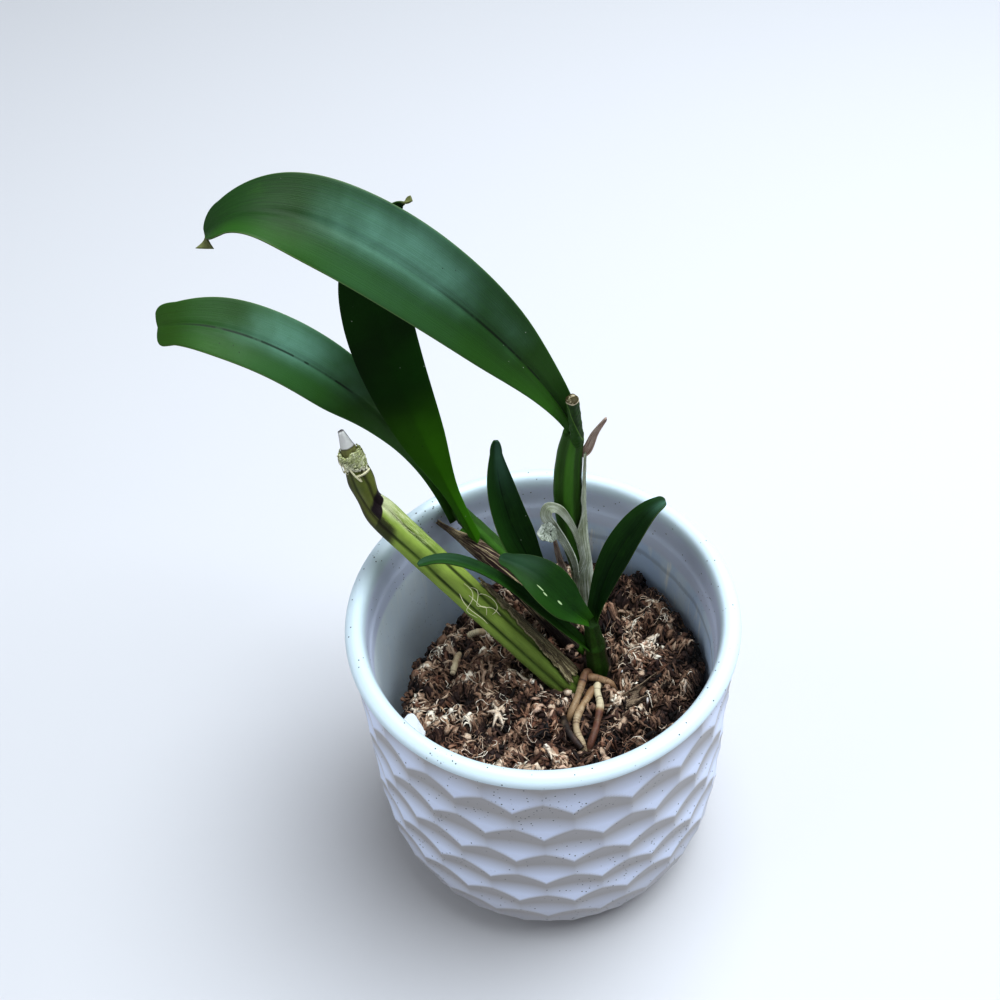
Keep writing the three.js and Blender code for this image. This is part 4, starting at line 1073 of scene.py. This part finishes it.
def leaf_finish(name, settings, shade, foot, painted_sheen, rib, scars=(), gloss=0.2, tip=2.0):
    """A leathery leaf by its marks: along the leaf, across it, and below for its under side. It is
    green, darker by `shade`, partly its own darker green and partly painted shade where another leaf
    shadows it, and yellower up to `foot`, near its lower margin and from `tip` on. A bluish painted
    sheen, which stands in for the reflection of the sky, rises and falls over the first three numbers
    of its sheen setting, as places along the leaf, times the last number, and thins out towards both
    margins, most of all the lower one. Fine lengthwise veins, a dark line on the midrib between the
    places of `rib`, pale scars and tiny specks follow, each scar by its place along and across, its
    length and its width."""
    f = Finish(name, Specular_IOR_Level=gloss)
    place = f.place()
    along, across, below = f.mark("along"), f.mark("across"), f.mark("below").rise(0.35, 0.65)
    cloud = f.noise(place, 40, 3)
    patch = f.noise(place, 90, 4, 0.6)
    middle = along + (cloud - 0.5) * 0.3
    sheen_mask = middle.rise(painted_sheen[0], painted_sheen[1]) * middle.rise(painted_sheen[2], painted_sheen[1]) * painted_sheen[3]
    sheen_mask = sheen_mask * (1 - across.rise(-0.15, 0.5) * 0.85) * (0.5 + across.rise(-0.95, -0.5) * 0.5)
    vein = f.noise(f.vector(across * 26, along * 3, 0.5), 3, 2)
    broken = f.noise(f.vector(along, 0.4, 0.7), 38, 2).rise(0.4, 0.5)
    line = abs(across).rise(0.05, 0.012) * along.rise(rib[0] - 0.05, rib[0])
    line = line * along.rise(rib[1], rib[1] - 0.2)
    green = tuple(lerp(g, d, shade) for g, d in zip(settings.leaf_green, settings.leaf_dark))
    upper = f.layers(
        green,
        (cloud.rise(0.3, 0.7) * 0.6, scaled(green, 0.6)),
        (along.rise(foot, 0.0) * 0.8, settings.leaf_young),
        (patch.rise(0.55, 0.75) * (0.4 - 0.3 * shade), settings.leaf_young),
        (across.rise(0.1, 0.8) * (0.6 - 0.5 * shade), seen(52, 102, 22)),
        ((along + cloud * 0.1).rise(tip, tip + 0.15) * 0.9, seen(40, 72, 10)),
        # Painted sheen: bluish green where the sky's reflection would lie on the leaf
        ((sheen_mask * (0.45 + patch)).clipped(), settings.leaf_painted_sheen),
        (vein.rise(0.45, 0.62) * 0.14, scaled(settings.leaf_green, 1.8)),
        (line * (0.35 + broken * 0.45), scaled(settings.leaf_dark, 0.5)),
        (abs(across).rise(0.96, 0.995) * 0.35, seen(120, 140, 84)))
    under = f.layers(
        settings.leaf_under,
        (cloud.rise(0.3, 0.7), scaled(settings.leaf_under, 2.2)),
        ((along + cloud * 0.2).rise(0.56, 0.2), scaled(settings.leaf_young, 1.8)))
    colour = f.mix(below, upper, under)
    for place_along, place_across, long, wide in scars:
        far = ((along - place_along) / long) ** 2 + ((across - place_across) / wide) ** 2
        colour = f.mix((far + patch * 0.9).rise(1.5, 0.9), colour, seen(176, 196, 150))
    dry = along.rise(1.0, 1.1)
    colour = f.layers(
        colour,
        (f.cells(place, 330).rise(0.085, 0.05) * patch.rise(0.5, 0.6) * 0.8, (0.004, 0.006, 0.003)),
        (f.cells(place, 240).rise(0.05, 0.03) * cloud.rise(0.5, 0.6) * 0.7, (0.5, 0.52, 0.45)),
        (dry, seen(112, 116, 74)))
    f.set(Base_Color=colour, Roughness=0.4 + cloud * 0.16 + dry * 0.3 + below * 0.1)
    f.bump(vein * 0.6 + patch * 0.4, 0.00018, 0.6)
    return f


def cane_finish(settings):
    """The old bare cane by its marks: bright ribs with soft dark furrows, duller low down, cream
    streaks below its shoulder, nearly black patches on the node above, then an olive part with brown
    furrows, and a white cap behind a dark line, grey on its back as painted shade."""
    f = Finish("furrowed_yellow_green_cane", Specular_IOR_Level=0.3)
    place = f.place()
    along, groove, cosine, sine = (f.mark(m) for m in STEM_MARKS)
    cloud = f.noise(place, 60, 4, 0.6)
    fine = f.noise(f.vector(sine * 9, cosine * 9, along * 9), 6, 5, 0.7)
    stripe = f.noise(f.vector(sine * 14, cosine * 14, along * 5), 5, 4, 0.65)
    slanted = along - sine * 0.03
    ragged = slanted + (fine - 0.5) * 0.03
    cream = along.rise(0.52, 0.66) * sine.rise(0.1, 0.5) * (stripe + along * 0.5).rise(0.82, 0.95)
    cream = (cream + slanted.rise(0.69, 0.73) * sine.rise(0.0, 0.4) * 0.6).clipped()
    olive = f.layers(
        seen(118, 126, 54),
        (groove.rise(0.3, 1.0) * 0.85, seen(54, 50, 20)),
        (stripe.rise(0.5, 0.7) * 0.4, seen(150, 150, 100)),
        (cloud.rise(0.5, 0.7) * 0.4, seen(58, 84, 20)),
        ((0 - sine).rise(0.5, 0.95) * 0.8, seen(48, 40, 26)))
    patch = slanted.rise(0.746, 0.751) * ragged.rise(0.796, 0.782) * (sine + fine * 0.5).rise(-0.2, -0.05)
    # Painted shade: the cap turns grey on its back, away from the front and top
    cap = f.mix(cosine.rise(-0.2, 0.9), seen(120, 116, 116), seen(244, 242, 238))
    colour = f.layers(
        settings.cane_bright,
        (groove.rise(0.45, 0.9), settings.cane_dark),
        (cloud.rise(0.42, 0.7) * 0.5, settings.cane_green),
        (stripe.rise(0.5, 0.7) * 0.3, scaled(settings.cane_bright, 1.25)),
        (along.rise(0.55, 0.1) * 0.75, scaled(settings.cane_green, 0.6)),
        (stripe.rise(0.45, 0.3) * along.rise(0.7, 0.4) * 0.5, settings.cane_dark),
        (cream, seen(228, 232, 186)),
        (ragged.rise(0.68, 0.71) * (fine * 0.7 - sine).rise(0.3, 0.55) * 0.9, seen(42, 38, 16)),
        (slanted.rise(0.752, 0.758), olive),
        (patch, seen(28, 10, 18)),
        (along.rise(0.9, 0.94) * 0.7, seen(140, 138, 88)),
        (along.rise(0.957, 0.96), cap),
        (along.rise(0.954, 0.957) * along.rise(0.961, 0.958) * 0.5, seen(44, 36, 22)),
        (f.cells(place, 300).rise(0.09, 0.05) * cloud.rise(0.45, 0.6), seen(24, 22, 14)))
    f.set(Base_Color=colour, Roughness=0.4 + fine * 0.3)
    f.bump(stripe * 0.5 + fine * 0.5, 0.0004, 0.8)
    return f


def stem_finish(name, settings, dark):
    """A living green stem: lengthwise stripes, a painted highlight in a pale line down its front, and
    purple-brown on one edge.
    """
    f = Finish(name, Specular_IOR_Level=0.25)
    along, groove, cosine, sine = (f.mark(m) for m in STEM_MARKS)
    stripe = f.noise(f.vector(sine * 12, cosine * 12, along * 2.5), 5, 3, 0.6)
    cloud = f.noise(f.place(), 90, 3)
    green = scaled(settings.stem_green, dark)
    colour = f.layers(
        scaled(green, 0.5),
        (stripe.rise(0.35, 0.65), green),
        (groove.rise(0.2, 0.8) * 0.5, scaled(green, 0.5)),
        # Painted highlight: a pale line down the stem's front
        (cosine.rise(0.9, 0.99) * 0.6, scaled(green, 1.9)),
        (sine.rise(0.75, 0.95) * cloud.rise(0.4, 0.6) * 0.6, seen(70, 42, 44)))
    f.set(Base_Color=colour, Roughness=0.34 + stripe * 0.2)
    f.bump(stripe, 0.0003, 0.7)
    return f


def stub_finish():
    """The cut stub by its marks: nearly black green above, the green of the leaf's base below a
    slanting pale line, and a torn pale ring round the cut."""
    f = Finish("cut_stub_skin", Specular_IOR_Level=0.25)
    along, sine = f.mark("along"), f.mark("sine")
    fine = f.noise(f.place(), 700, 4, 0.6)
    fold = along + sine * 0.42 + (fine - 0.5) * 0.04
    colour = f.layers(
        seen(28, 56, 12),
        (fine.rise(0.4, 0.7), seen(46, 80, 24)),
        (fold.rise(0.56, 0.53), seen(40, 78, 16)),
        (fold.rise(0.5, 0.54) * fold.rise(0.6, 0.56) * 0.7, seen(104, 140, 60)),
        ((along + fine * 0.04).rise(0.985, 0.995), seen(214, 200, 172)),
        (along.rise(0.99, 0.999) * fine.rise(0.3, 0.5), seen(70, 62, 36)))
    f.set(Base_Color=colour, Roughness=0.4 + fine * 0.3)
    f.bump(fine, 0.0003, 0.7)
    return f


def dry_finish(name, dark, middle, light, streaks=30.0, hem=0.0, dim=0.0, foot=0.0):
    """Dry papery skin by its marks: lengthwise stripes from dark to light, worn pale margins, and a
    pale hem at its start where `hem` is 1. `dim` narrows the pale stripes, and up to the share `foot`
    the skin darkens towards its start, as painted shade where the skin lies behind other parts."""
    f = Finish(name, Specular_IOR_Level=0.3)
    along, across = f.mark("along"), f.mark("across")
    stripe = f.noise(f.vector(across * streaks, along * 2.2, 0.3), 2, 4, 0.6)
    cloud = f.noise(f.place(), 120, 4, 0.6)
    stripes = f.ramp(stripe * 0.75 + cloud * 0.3, (0.34 + dim, dark), (0.5 + dim * 0.7, middle),
                     (0.62 + dim * 0.4, light))
    margin = (abs(across - 0.5) * 2).rise(0.9, 1.0)
    colour = f.layers(
        stripes,
        (margin * (0.5 - dim * 4), light),
        ((along + cloud * 0.08).rise(0.2, 0.1) * hem, seen(236, 232, 206)))
    # Painted shade: the skin darkens towards its start, which lies in the shade of the parts in front
    if foot:
        low = (along + cloud * 0.1).rise(foot, foot * 0.4) * 0.85
        colour = f.mix(low, colour, scaled(dark, 0.5))
    f.set(Base_Color=colour, Roughness=0.55 + stripe * 0.3)
    f.bump(stripe, 0.00045, 0.9)
    return f


def fibre_finish(name, stops):
    """Moss, bark and root fibres by their tone and warmth marks, darker towards their ends."""
    f = Finish(name, Roughness=0.8)
    tone, warm, along = f.mark("tone"), f.mark("warm"), f.mark("along")
    grain = f.noise(f.place(), 900, 3, 0.6)
    colour = f.ramp((tone + grain * 0.4 - 0.2).clipped(), *stops)
    colour = f.mix(warm.rise(0.55, 0.9) * 0.55, colour, seen(186, 122, 84), blend="MULTIPLY")
    f.set(Base_Color=f.mix(abs(along - 0.5).rise(0.36, 0.5) * 0.4, colour, stops[0][1]))
    f.bump(grain, 0.0004, 0.8)
    return f


def clump_finish(settings):
    """The clump's own body under the strands: dark crumbs, with painted shade in near-black patches that
    stand for deep hollows.
    """
    f = Finish("dark_crumbly_medium", Roughness=0.9)
    place = f.place()
    crumb = f.noise(place, 420, 4, 0.65)
    colour = f.ramp(crumb, (0.3, scaled(settings.earth, 0.25)), (0.52, settings.earth),
                    (0.72, settings.fibre))
    # Painted shade: near-black patches for the shade in deep hollows between crumbs
    painted_gap_shade = f.noise(place, 190, 3).rise(0.5, 0.36) * 0.8
    f.set(Base_Color=f.mix(painted_gap_shade, colour, scaled(settings.earth, 0.2)))
    f.bump(crumb, 0.0012, 1.0)
    return f


def root_finish():
    """Root skin by its tone mark: reddish, tan and cream, with pale blotches and rings of dry cracks."""
    f = Finish("smooth_root_skin", Roughness=0.6)
    along, tone = f.mark("along"), f.mark("tone")
    cloud = f.noise(f.place(), 160, 4, 0.6)
    ring = f.noise(f.vector(along * 26, 0.2, tone), 3, 2)
    skin = f.ramp((tone + cloud * 0.4 - 0.2).clipped(), (0.0, seen(34, 24, 20)), (0.3, seen(98, 60, 44)),
                  (0.6, seen(142, 112, 80)), (1.0, seen(206, 194, 164)))
    colour = f.layers(
        skin,
        (cloud.rise(0.5, 0.75) * 0.35, seen(206, 184, 152)),
        (ring.rise(0.58, 0.68) * 0.6, seen(84, 58, 42)),
        (ring.rise(0.7, 0.75) * 0.85, seen(34, 24, 20)))
    f.set(Base_Color=colour, Roughness=0.5 + cloud * 0.25)
    f.bump(cloud * 0.6 + ring * 0.4, 0.0003, 0.8)
    return f


def label_finish():
    """White plastic with faint dust."""
    f = Finish("plain_white_label", Roughness=0.4)
    dust = f.noise(f.place(), 220, 4, 0.6)
    f.set(Base_Color=f.mix(dust.rise(0.45, 0.75) * 0.35, seen(236, 240, 244), seen(190, 194, 200)),
          Roughness=0.35 + dust * 0.2)
    f.bump(dust, 0.00005, 0.4)
    return f


def floor_finish(settings):
    """A plain pale floor with barely seen clouds."""
    f = Finish("pale_floor", Roughness=0.7)
    cloud = f.noise(f.place(), 3, 2)
    f.set(Base_Color=f.mix(cloud * 0.2, settings.floor, scaled(settings.floor, 0.97)))
    return f


# ---- Settings ----

def colour_choice(name, description, default):
    """A colour that the sidebar offers."""
    return bpy.props.FloatVectorProperty(
        name=name, description=description, default=default, subtype="COLOR", size=3, min=0, max=1)


class PotSettings(bpy.types.PropertyGroup):
    """Sizes and colours of the pot."""

    scoop_depth: bpy.props.FloatProperty(
        name="Scoop depth", description="How far a scoop dips, in millimetres", default=1.8, min=0.5, max=4)
    ridge_sharpness: bpy.props.FloatProperty(
        name="Ridge sharpness", description="Higher values give narrower ridges between scoops",
        default=22, min=5, max=80)
    speck_spacing: bpy.props.FloatProperty(
        name="Speck spacing", description="Distance between places where a speck may be, in millimetres",
        default=1.7, min=0.5, max=6)
    glaze: colour_choice("Glaze", "Colour of the outside", seen(224, 232, 254))
    # The colour of the painted shade on the scoops' overhanging halves and near the foot
    glaze_shade: colour_choice("Glaze, painted shade", "Colour where a scoop overhangs", seen(170, 166, 166))
    lip: colour_choice("Lip", "Colour of the lip", seen(208, 222, 230))
    inner_dark: colour_choice("Inner wall, dark", "Darker colour of the inner wall", seen(208, 226, 252))
    inner_light: colour_choice("Inner wall, light", "Lighter colour of the inner wall", seen(230, 242, 255))
    speck: colour_choice("Specks", "Colour of the specks", seen(52, 60, 66))


class MediumSettings(bpy.types.PropertyGroup):
    """Sizes and colours of the growing medium."""

    relief: bpy.props.FloatProperty(
        name="Relief", description="Height of the crumbly relief, as a share", default=1, min=0, max=1.5,
        subtype="FACTOR")
    strands: bpy.props.IntProperty(
        name="Moss strands", description="How many strands of moss are strewn", default=5200, min=500,
        max=5400)
    earth: colour_choice("Earth", "Dark colour of the medium", seen(62, 44, 34))
    fibre: colour_choice("Fibre", "Light colour of the medium", seen(150, 122, 96))


class PlantSettings(bpy.types.PropertyGroup):
    """Colours of the plant."""

    leaf_green: colour_choice("Leaf", "Main green of the leaves", seen(40, 82, 28))
    leaf_dark: colour_choice("Leaf, dark", "Dark green of shaded leaves", seen(6, 32, 5))
    leaf_young: colour_choice("Leaf, young", "Yellow-green of leaf bases", seen(46, 90, 8))
    # The bluish green of the painted sheen that stands in for the sky's reflection on a leaf
    leaf_painted_sheen: colour_choice("Leaf, bloom", "Bluish green of the bloom on a leaf", seen(100, 142, 124))
    leaf_under: colour_choice("Leaf, under side", "Green of the under sides", seen(8, 34, 2))
    cane_bright: colour_choice("Cane ribs", "Yellow-green of the bare cane's ribs", seen(160, 182, 84))
    cane_green: colour_choice("Cane", "Middle green of the bare cane", seen(104, 130, 50))
    cane_dark: colour_choice("Cane furrows", "Dark green in the furrows", seen(50, 66, 14))
    stem_green: colour_choice("Stems", "Green of the living stems", seen(62, 108, 26))


class StageSettings(bpy.types.PropertyGroup):
    """Floor, light and sky."""

    floor: colour_choice("Floor", "Colour of the floor", seen(208, 207, 210))
    sky: bpy.props.FloatProperty(
        name="Sky", description="Strength of the light from all round", default=0.36, min=0, max=5)
    lamp: bpy.props.FloatProperty(
        name="Lamp", description="Power of the main lamp", default=36, min=0, max=500, subtype="POWER")
    side_lamp: bpy.props.FloatProperty(
        name="Side lamp", description="Power of the lamp at the left", default=6, min=0, max=500,
        subtype="POWER")


# ---- Builders ----

class BuildPot(bpy.types.Operator):
    """Builds the pot, with its honeycomb of scoops and its speckled glaze"""
    bl_idname = "orchid.pot"
    bl_label = "Pot"

    def execute(self, context):
        settings = context.scene.orchid_pot
        shell = pot_shell(settings.scoop_depth, settings.ridge_sharpness)
        dress(skins("pot_surface", shell), glaze_finish(settings), "pot", "pot")
        return {"FINISHED"}


class BuildMedium(bpy.types.Operator):
    """Builds the clump of growing medium and strews moss, bark and crumbs on it"""
    bl_idname = "orchid.medium"
    bl_label = "Growing medium"

    def execute(self, context):
        settings = context.scene.orchid_medium
        clump = skins("clump_body", clump_shell(settings.relief))
        dress(clump, clump_finish(settings), "medium", "growing_medium")
        moss = fibre_finish("chopped_moss", (
            (0.0, seen(14, 8, 8)), (0.3, seen(70, 46, 36)), (0.58, seen(144, 112, 90)),
            (0.8, seen(204, 180, 156)), (1.0, seen(250, 240, 222))))
        bark = fibre_finish("bark_shreds", (
            (0.0, seen(12, 6, 8)), (0.4, seen(58, 36, 30)), (0.75, seen(124, 88, 68)),
            (1.0, seen(196, 160, 128))))
        for name, kind in LITTER.items():
            kind = {"count": settings.strands, **kind}
            dress(strew(name, kind), bark if name in BARK_LITTER else moss, "medium")
        for number, (x, y, spread, count) in enumerate(PALE_PATCHES):
            kind = {**PALE_PATCH, "count": count, "seed": 40 + number}
            dress(strew(f"pale_patch_{number}", kind, (x, y, spread)), moss, "medium")
        star, across = rays(STAR_CENTRE, 6, (2.4, 6.5), 51)
        width = np.linspace(2.4, 0.5, star.shape[1]) * np.ones((len(star), 1))
        tone, warm = (np.full(len(star), value) for value in (0.86, 0.3))
        dress(strands("cream_star", star, width, width * 0.6, across, tone=tone, warm=warm), moss, "medium")
        grains = fibre_finish("white_grains", ((0.0, seen(200, 202, 200)), (1.0, seen(250, 250, 248))))
        dress(strew("white_grains", GRAINS), grains, "medium")
        curl = skins("rolled_bark", sheath(SHEATHS["bark_curl"], ragged=0.2, seed=5))
        skin = dry_finish("rolled_bark_skin", seen(24, 18, 16), seen(58, 42, 34), seen(168, 148, 124))
        dress(curl, skin, "bark", "bark_curl")
        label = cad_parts["plant_label"].data.materials
        label.clear()
        label.append(label_finish().material)
        return {"FINISHED"}


class BuildRoots(bpy.types.Operator):
    """Builds the rhizome with its live roots, and the old root pieces in the medium"""
    bl_idname = "orchid.roots"
    bl_label = "Roots"

    def execute(self, context):
        skin_of_roots = root_finish()
        rhizome, marks = stem(RHIZOME, 60, 32)
        live = [(rhizome, {"along": marks["along"], "tone": np.full(rhizome.shape[:2], 0.3)})]
        tones = (0.4, 0.66), (0.6, 0.75), (0.95, 0.3), (0.5, 0.5)
        live += [root(points, tone) for points, tone in zip(LIVE_ROOTS, tones)]
        dress(skins("live_roots", *live), skin_of_roots, "root", "rhizome_roots")
        tones = (0.8, 0.85), (0.9, 0.8), (0.0, 0.05)
        old = [root(points, tone, (1.1, 1.3, 1.15, 1.3, 1), 30) for points, tone in zip(OLD_ROOTS, tones)]
        dress(skins("old_roots", *old), skin_of_roots, "root")
        return {"FINISHED"}


class BuildStems(bpy.types.Operator):
    """Builds the canes, the new stem and the cut stub, with pale fibres on the bare cane"""
    bl_idname = "orchid.stems"
    bl_label = "Stems"

    def execute(self, context):
        settings = context.scene.orchid_plant
        cane = skins("bare_cane", stem(CANES["cane_a"], 180, 84))
        dress(cane, cane_finish(settings), "cane", "cane_a")
        green = stem_finish("striped_green_stem", settings, 1.0)
        dark = stem_finish("dark_green_stem", settings, 0.4)
        for name, node, finish in (("leaning_stem", "cane_b", green), ("upright_stem", "cane_c", green),
                                   ("new_stem", "stem_d", dark), ("cut_stub", "cut_stub_c", stub_finish())):
            dress(skins(name, stem(CANES[node])), finish, "stem", node)
        clasping = skins("clasping_base", stem(CLASPING_BASE, 40, 32))
        dress(clasping, stem_finish("clasping_green_base", settings, 0.85), "stem")
        fibre = fibre_finish("pale_fibre", ((0.0, seen(160, 150, 110)), (1.0, seen(238, 232, 196))))
        for name, (starts, ends, bulge, seed, steps, width, flatness) in HAIRS.items():
            places, across = hairs(CANES["cane_a"], starts, ends, bulge, seed, steps)
            wide = width(np.linspace(0, math.pi, steps)) * np.ones((len(places), 1))
            tone = np.full(len(places), 1.0)
            piece = strands(name, places, wide, wide * flatness, across, tone=tone, warm=tone * 0)
            dress(piece, fibre, "dry_silver")
        return {"FINISHED"}


class BuildLeaves(bpy.types.Operator):
    """Builds the seven leaves, each by its own path"""
    bl_idname = "orchid.leaves"
    bl_label = "Leaves"

    def execute(self, context):
        settings = context.scene.orchid_plant
        for node, leaf in LEAVES.items():
            shell = blade(leaf, *((130, 32) if node in LONG_LEAVES else (90, 24)))
            name = node.replace("leaf", "blade")
            finish = leaf_finish(f"skin_of_{name}", settings, **leaf["look"])
            dress(skins(name, shell), finish, "leaf", node)
        return {"FINISHED"}


class BuildSheaths(bpy.types.Operator):
    """Builds the dry sheaths, collars and papery strips on the stems"""
    bl_idname = "orchid.sheaths"
    bl_label = "Dry sheaths"

    def execute(self, context):
        finishes = {name: dry_finish(name, *(seen(*tint) for tint in tints), **traits)
                    for name, (tints, traits) in DRY_SKINS.items()}
        for node, name, finish, ragged, slot in (
                ("sheath_a", "dry_coat_on_bare_cane", "grey_brown_coat", 0.14, "dry_brown"),
                ("sheath_b", "striped_sheath", "purple_brown_sheath", 0.06, "dry_brown"),
                ("collar_a", "torn_collar", "cream_collar", 0.5, "dry_silver"),
                ("sheath_c", "papery_sheath", "silver_sheath", 0.06, "dry_silver")):
            dress(skins(name, sheath(SHEATHS[node], ragged=ragged)), finishes[finish], slot, node)
        flap = flap_shell((3.6, 15.8, 151), (-0.3, -0.8, 0.5), 3.6)
        dress(skins("curled_flap", flap), finishes["curled_flap_skin"], "dry_silver")
        for node, name, finish, slot in (
                ("curled_sheath_c", "curled_paper", "silver_sheath", "dry_silver"),
                ("brown_strip_c", "brown_paper", "pinkish_brown_skin", "dry_brown"),
                ("bract_c", "dry_bract", "pinkish_bract_skin", "dry_brown")):
            rings, marks = blade(STRIPS[node], 60, 16, 0)
            marks = {"along": marks["along"], "across": marks["across"] / 2 + 0.5}
            dress(skins(name, (rings, marks)), finishes[finish], slot, node)
        return {"FINISHED"}


class BuildStage(bpy.types.Operator):
    """Builds the floor, the light and the camera"""
    bl_idname = "orchid.stage"
    bl_label = "Stage"

    def execute(self, context):
        settings, scene = context.scene.orchid_stage, context.scene
        mesh = bpy.data.meshes.new("floor")
        corners = [(FLOOR_REACH * x, FLOOR_REACH * y, 0) for x, y in ((-1, -1), (1, -1), (1, 1), (-1, 1))]
        mesh.from_pydata(corners, [], [(0, 1, 2, 3)])
        floor = bpy.data.objects.new("floor", mesh)
        scene.collection.objects.link(floor)
        mesh.materials.append(floor_finish(settings).material)

        world = bpy.data.worlds.new("soft_sky")
        world.use_nodes = True
        sky = world.node_tree.nodes["Background"]
        sky.inputs["Color"].default_value = SKY_COLOUR
        sky.inputs["Strength"].default_value = settings.sky
        scene.world = world
        powers = settings.lamp, settings.side_lamp
        for power, (name, size, place) in zip(powers, LAMPS):
            light = bpy.data.lights.new(name, "AREA")
            light.shape, light.size, light.energy, light.color = "DISK", size, power, LAMP_COLOUR
            lamp = bpy.data.objects.new(name, light)
            lamp.location = place
            lamp.rotation_euler = (Vector(LAMP_AIM) - lamp.location).to_track_quat("-Z", "Y").to_euler()
            scene.collection.objects.link(lamp)
        scene.view_settings.view_transform = "Standard"
        scene.view_settings.gamma = 0.85

        lens = bpy.data.cameras.new("camera")
        lens.lens, lens.sensor_width = FOCAL_LENGTH, SENSOR_WIDTH
        camera = bpy.data.objects.new("camera", lens)
        turned = Matrix.Translation(CAMERA_PLACE)
        for degrees, axis in CAMERA_TURNS:
            turned = turned @ Matrix.Rotation(math.radians(degrees), 4, axis)
        camera.matrix_world = turned
        scene.collection.objects.link(camera)
        scene.camera = camera
        return {"FINISHED"}


class OrchidPanel(bpy.types.Panel):
    """Lists the builders and their settings in the sidebar"""
    bl_idname = "VIEW3D_PT_orchid"
    bl_label = "Potted orchid"
    bl_space_type = "VIEW_3D"
    bl_region_type = "UI"
    bl_category = "Orchid"

    def draw(self, context):
        layout = self.layout
        for group, builders in (("orchid_pot", (BuildPot,)), ("orchid_medium", (BuildMedium, BuildRoots)),
                                ("orchid_plant", (BuildStems, BuildLeaves, BuildSheaths)),
                                ("orchid_stage", (BuildStage,))):
            box = layout.box()
            settings = getattr(context.scene, group)
            for key in settings.bl_rna.properties.keys():
                if key not in ("rna_type", "name"):
                    box.prop(settings, key)
            for builder in builders:
                box.operator(builder.bl_idname)


GROUPS = (("orchid_pot", PotSettings), ("orchid_medium", MediumSettings), ("orchid_plant", PlantSettings),
          ("orchid_stage", StageSettings))
BUILDERS = (BuildPot, BuildMedium, BuildRoots, BuildStems, BuildLeaves, BuildSheaths, BuildStage)


def register():
    """Registers the settings, the builders and the panel."""
    for name, group in GROUPS:
        bpy.utils.register_class(group)
        setattr(bpy.types.Scene, name, bpy.props.PointerProperty(type=group))
    for builder in (*BUILDERS, OrchidPanel):
        bpy.utils.register_class(builder)


def unregister():
    """Takes the panel, the builders and the settings away again."""
    for builder in (OrchidPanel, *BUILDERS):
        bpy.utils.unregister_class(builder)
    for name, group in GROUPS:
        delattr(bpy.types.Scene, name)
        bpy.utils.unregister_class(group)


def main():
    """Builds the plant, its pot and the stage."""
    register()
    bpy.ops.orchid.pot()
    bpy.ops.orchid.medium()
    bpy.ops.orchid.roots()
    bpy.ops.orchid.stems()
    bpy.ops.orchid.leaves()
    bpy.ops.orchid.sheaths()
    bpy.ops.orchid.stage()


if __name__ == "__main__":
    main()
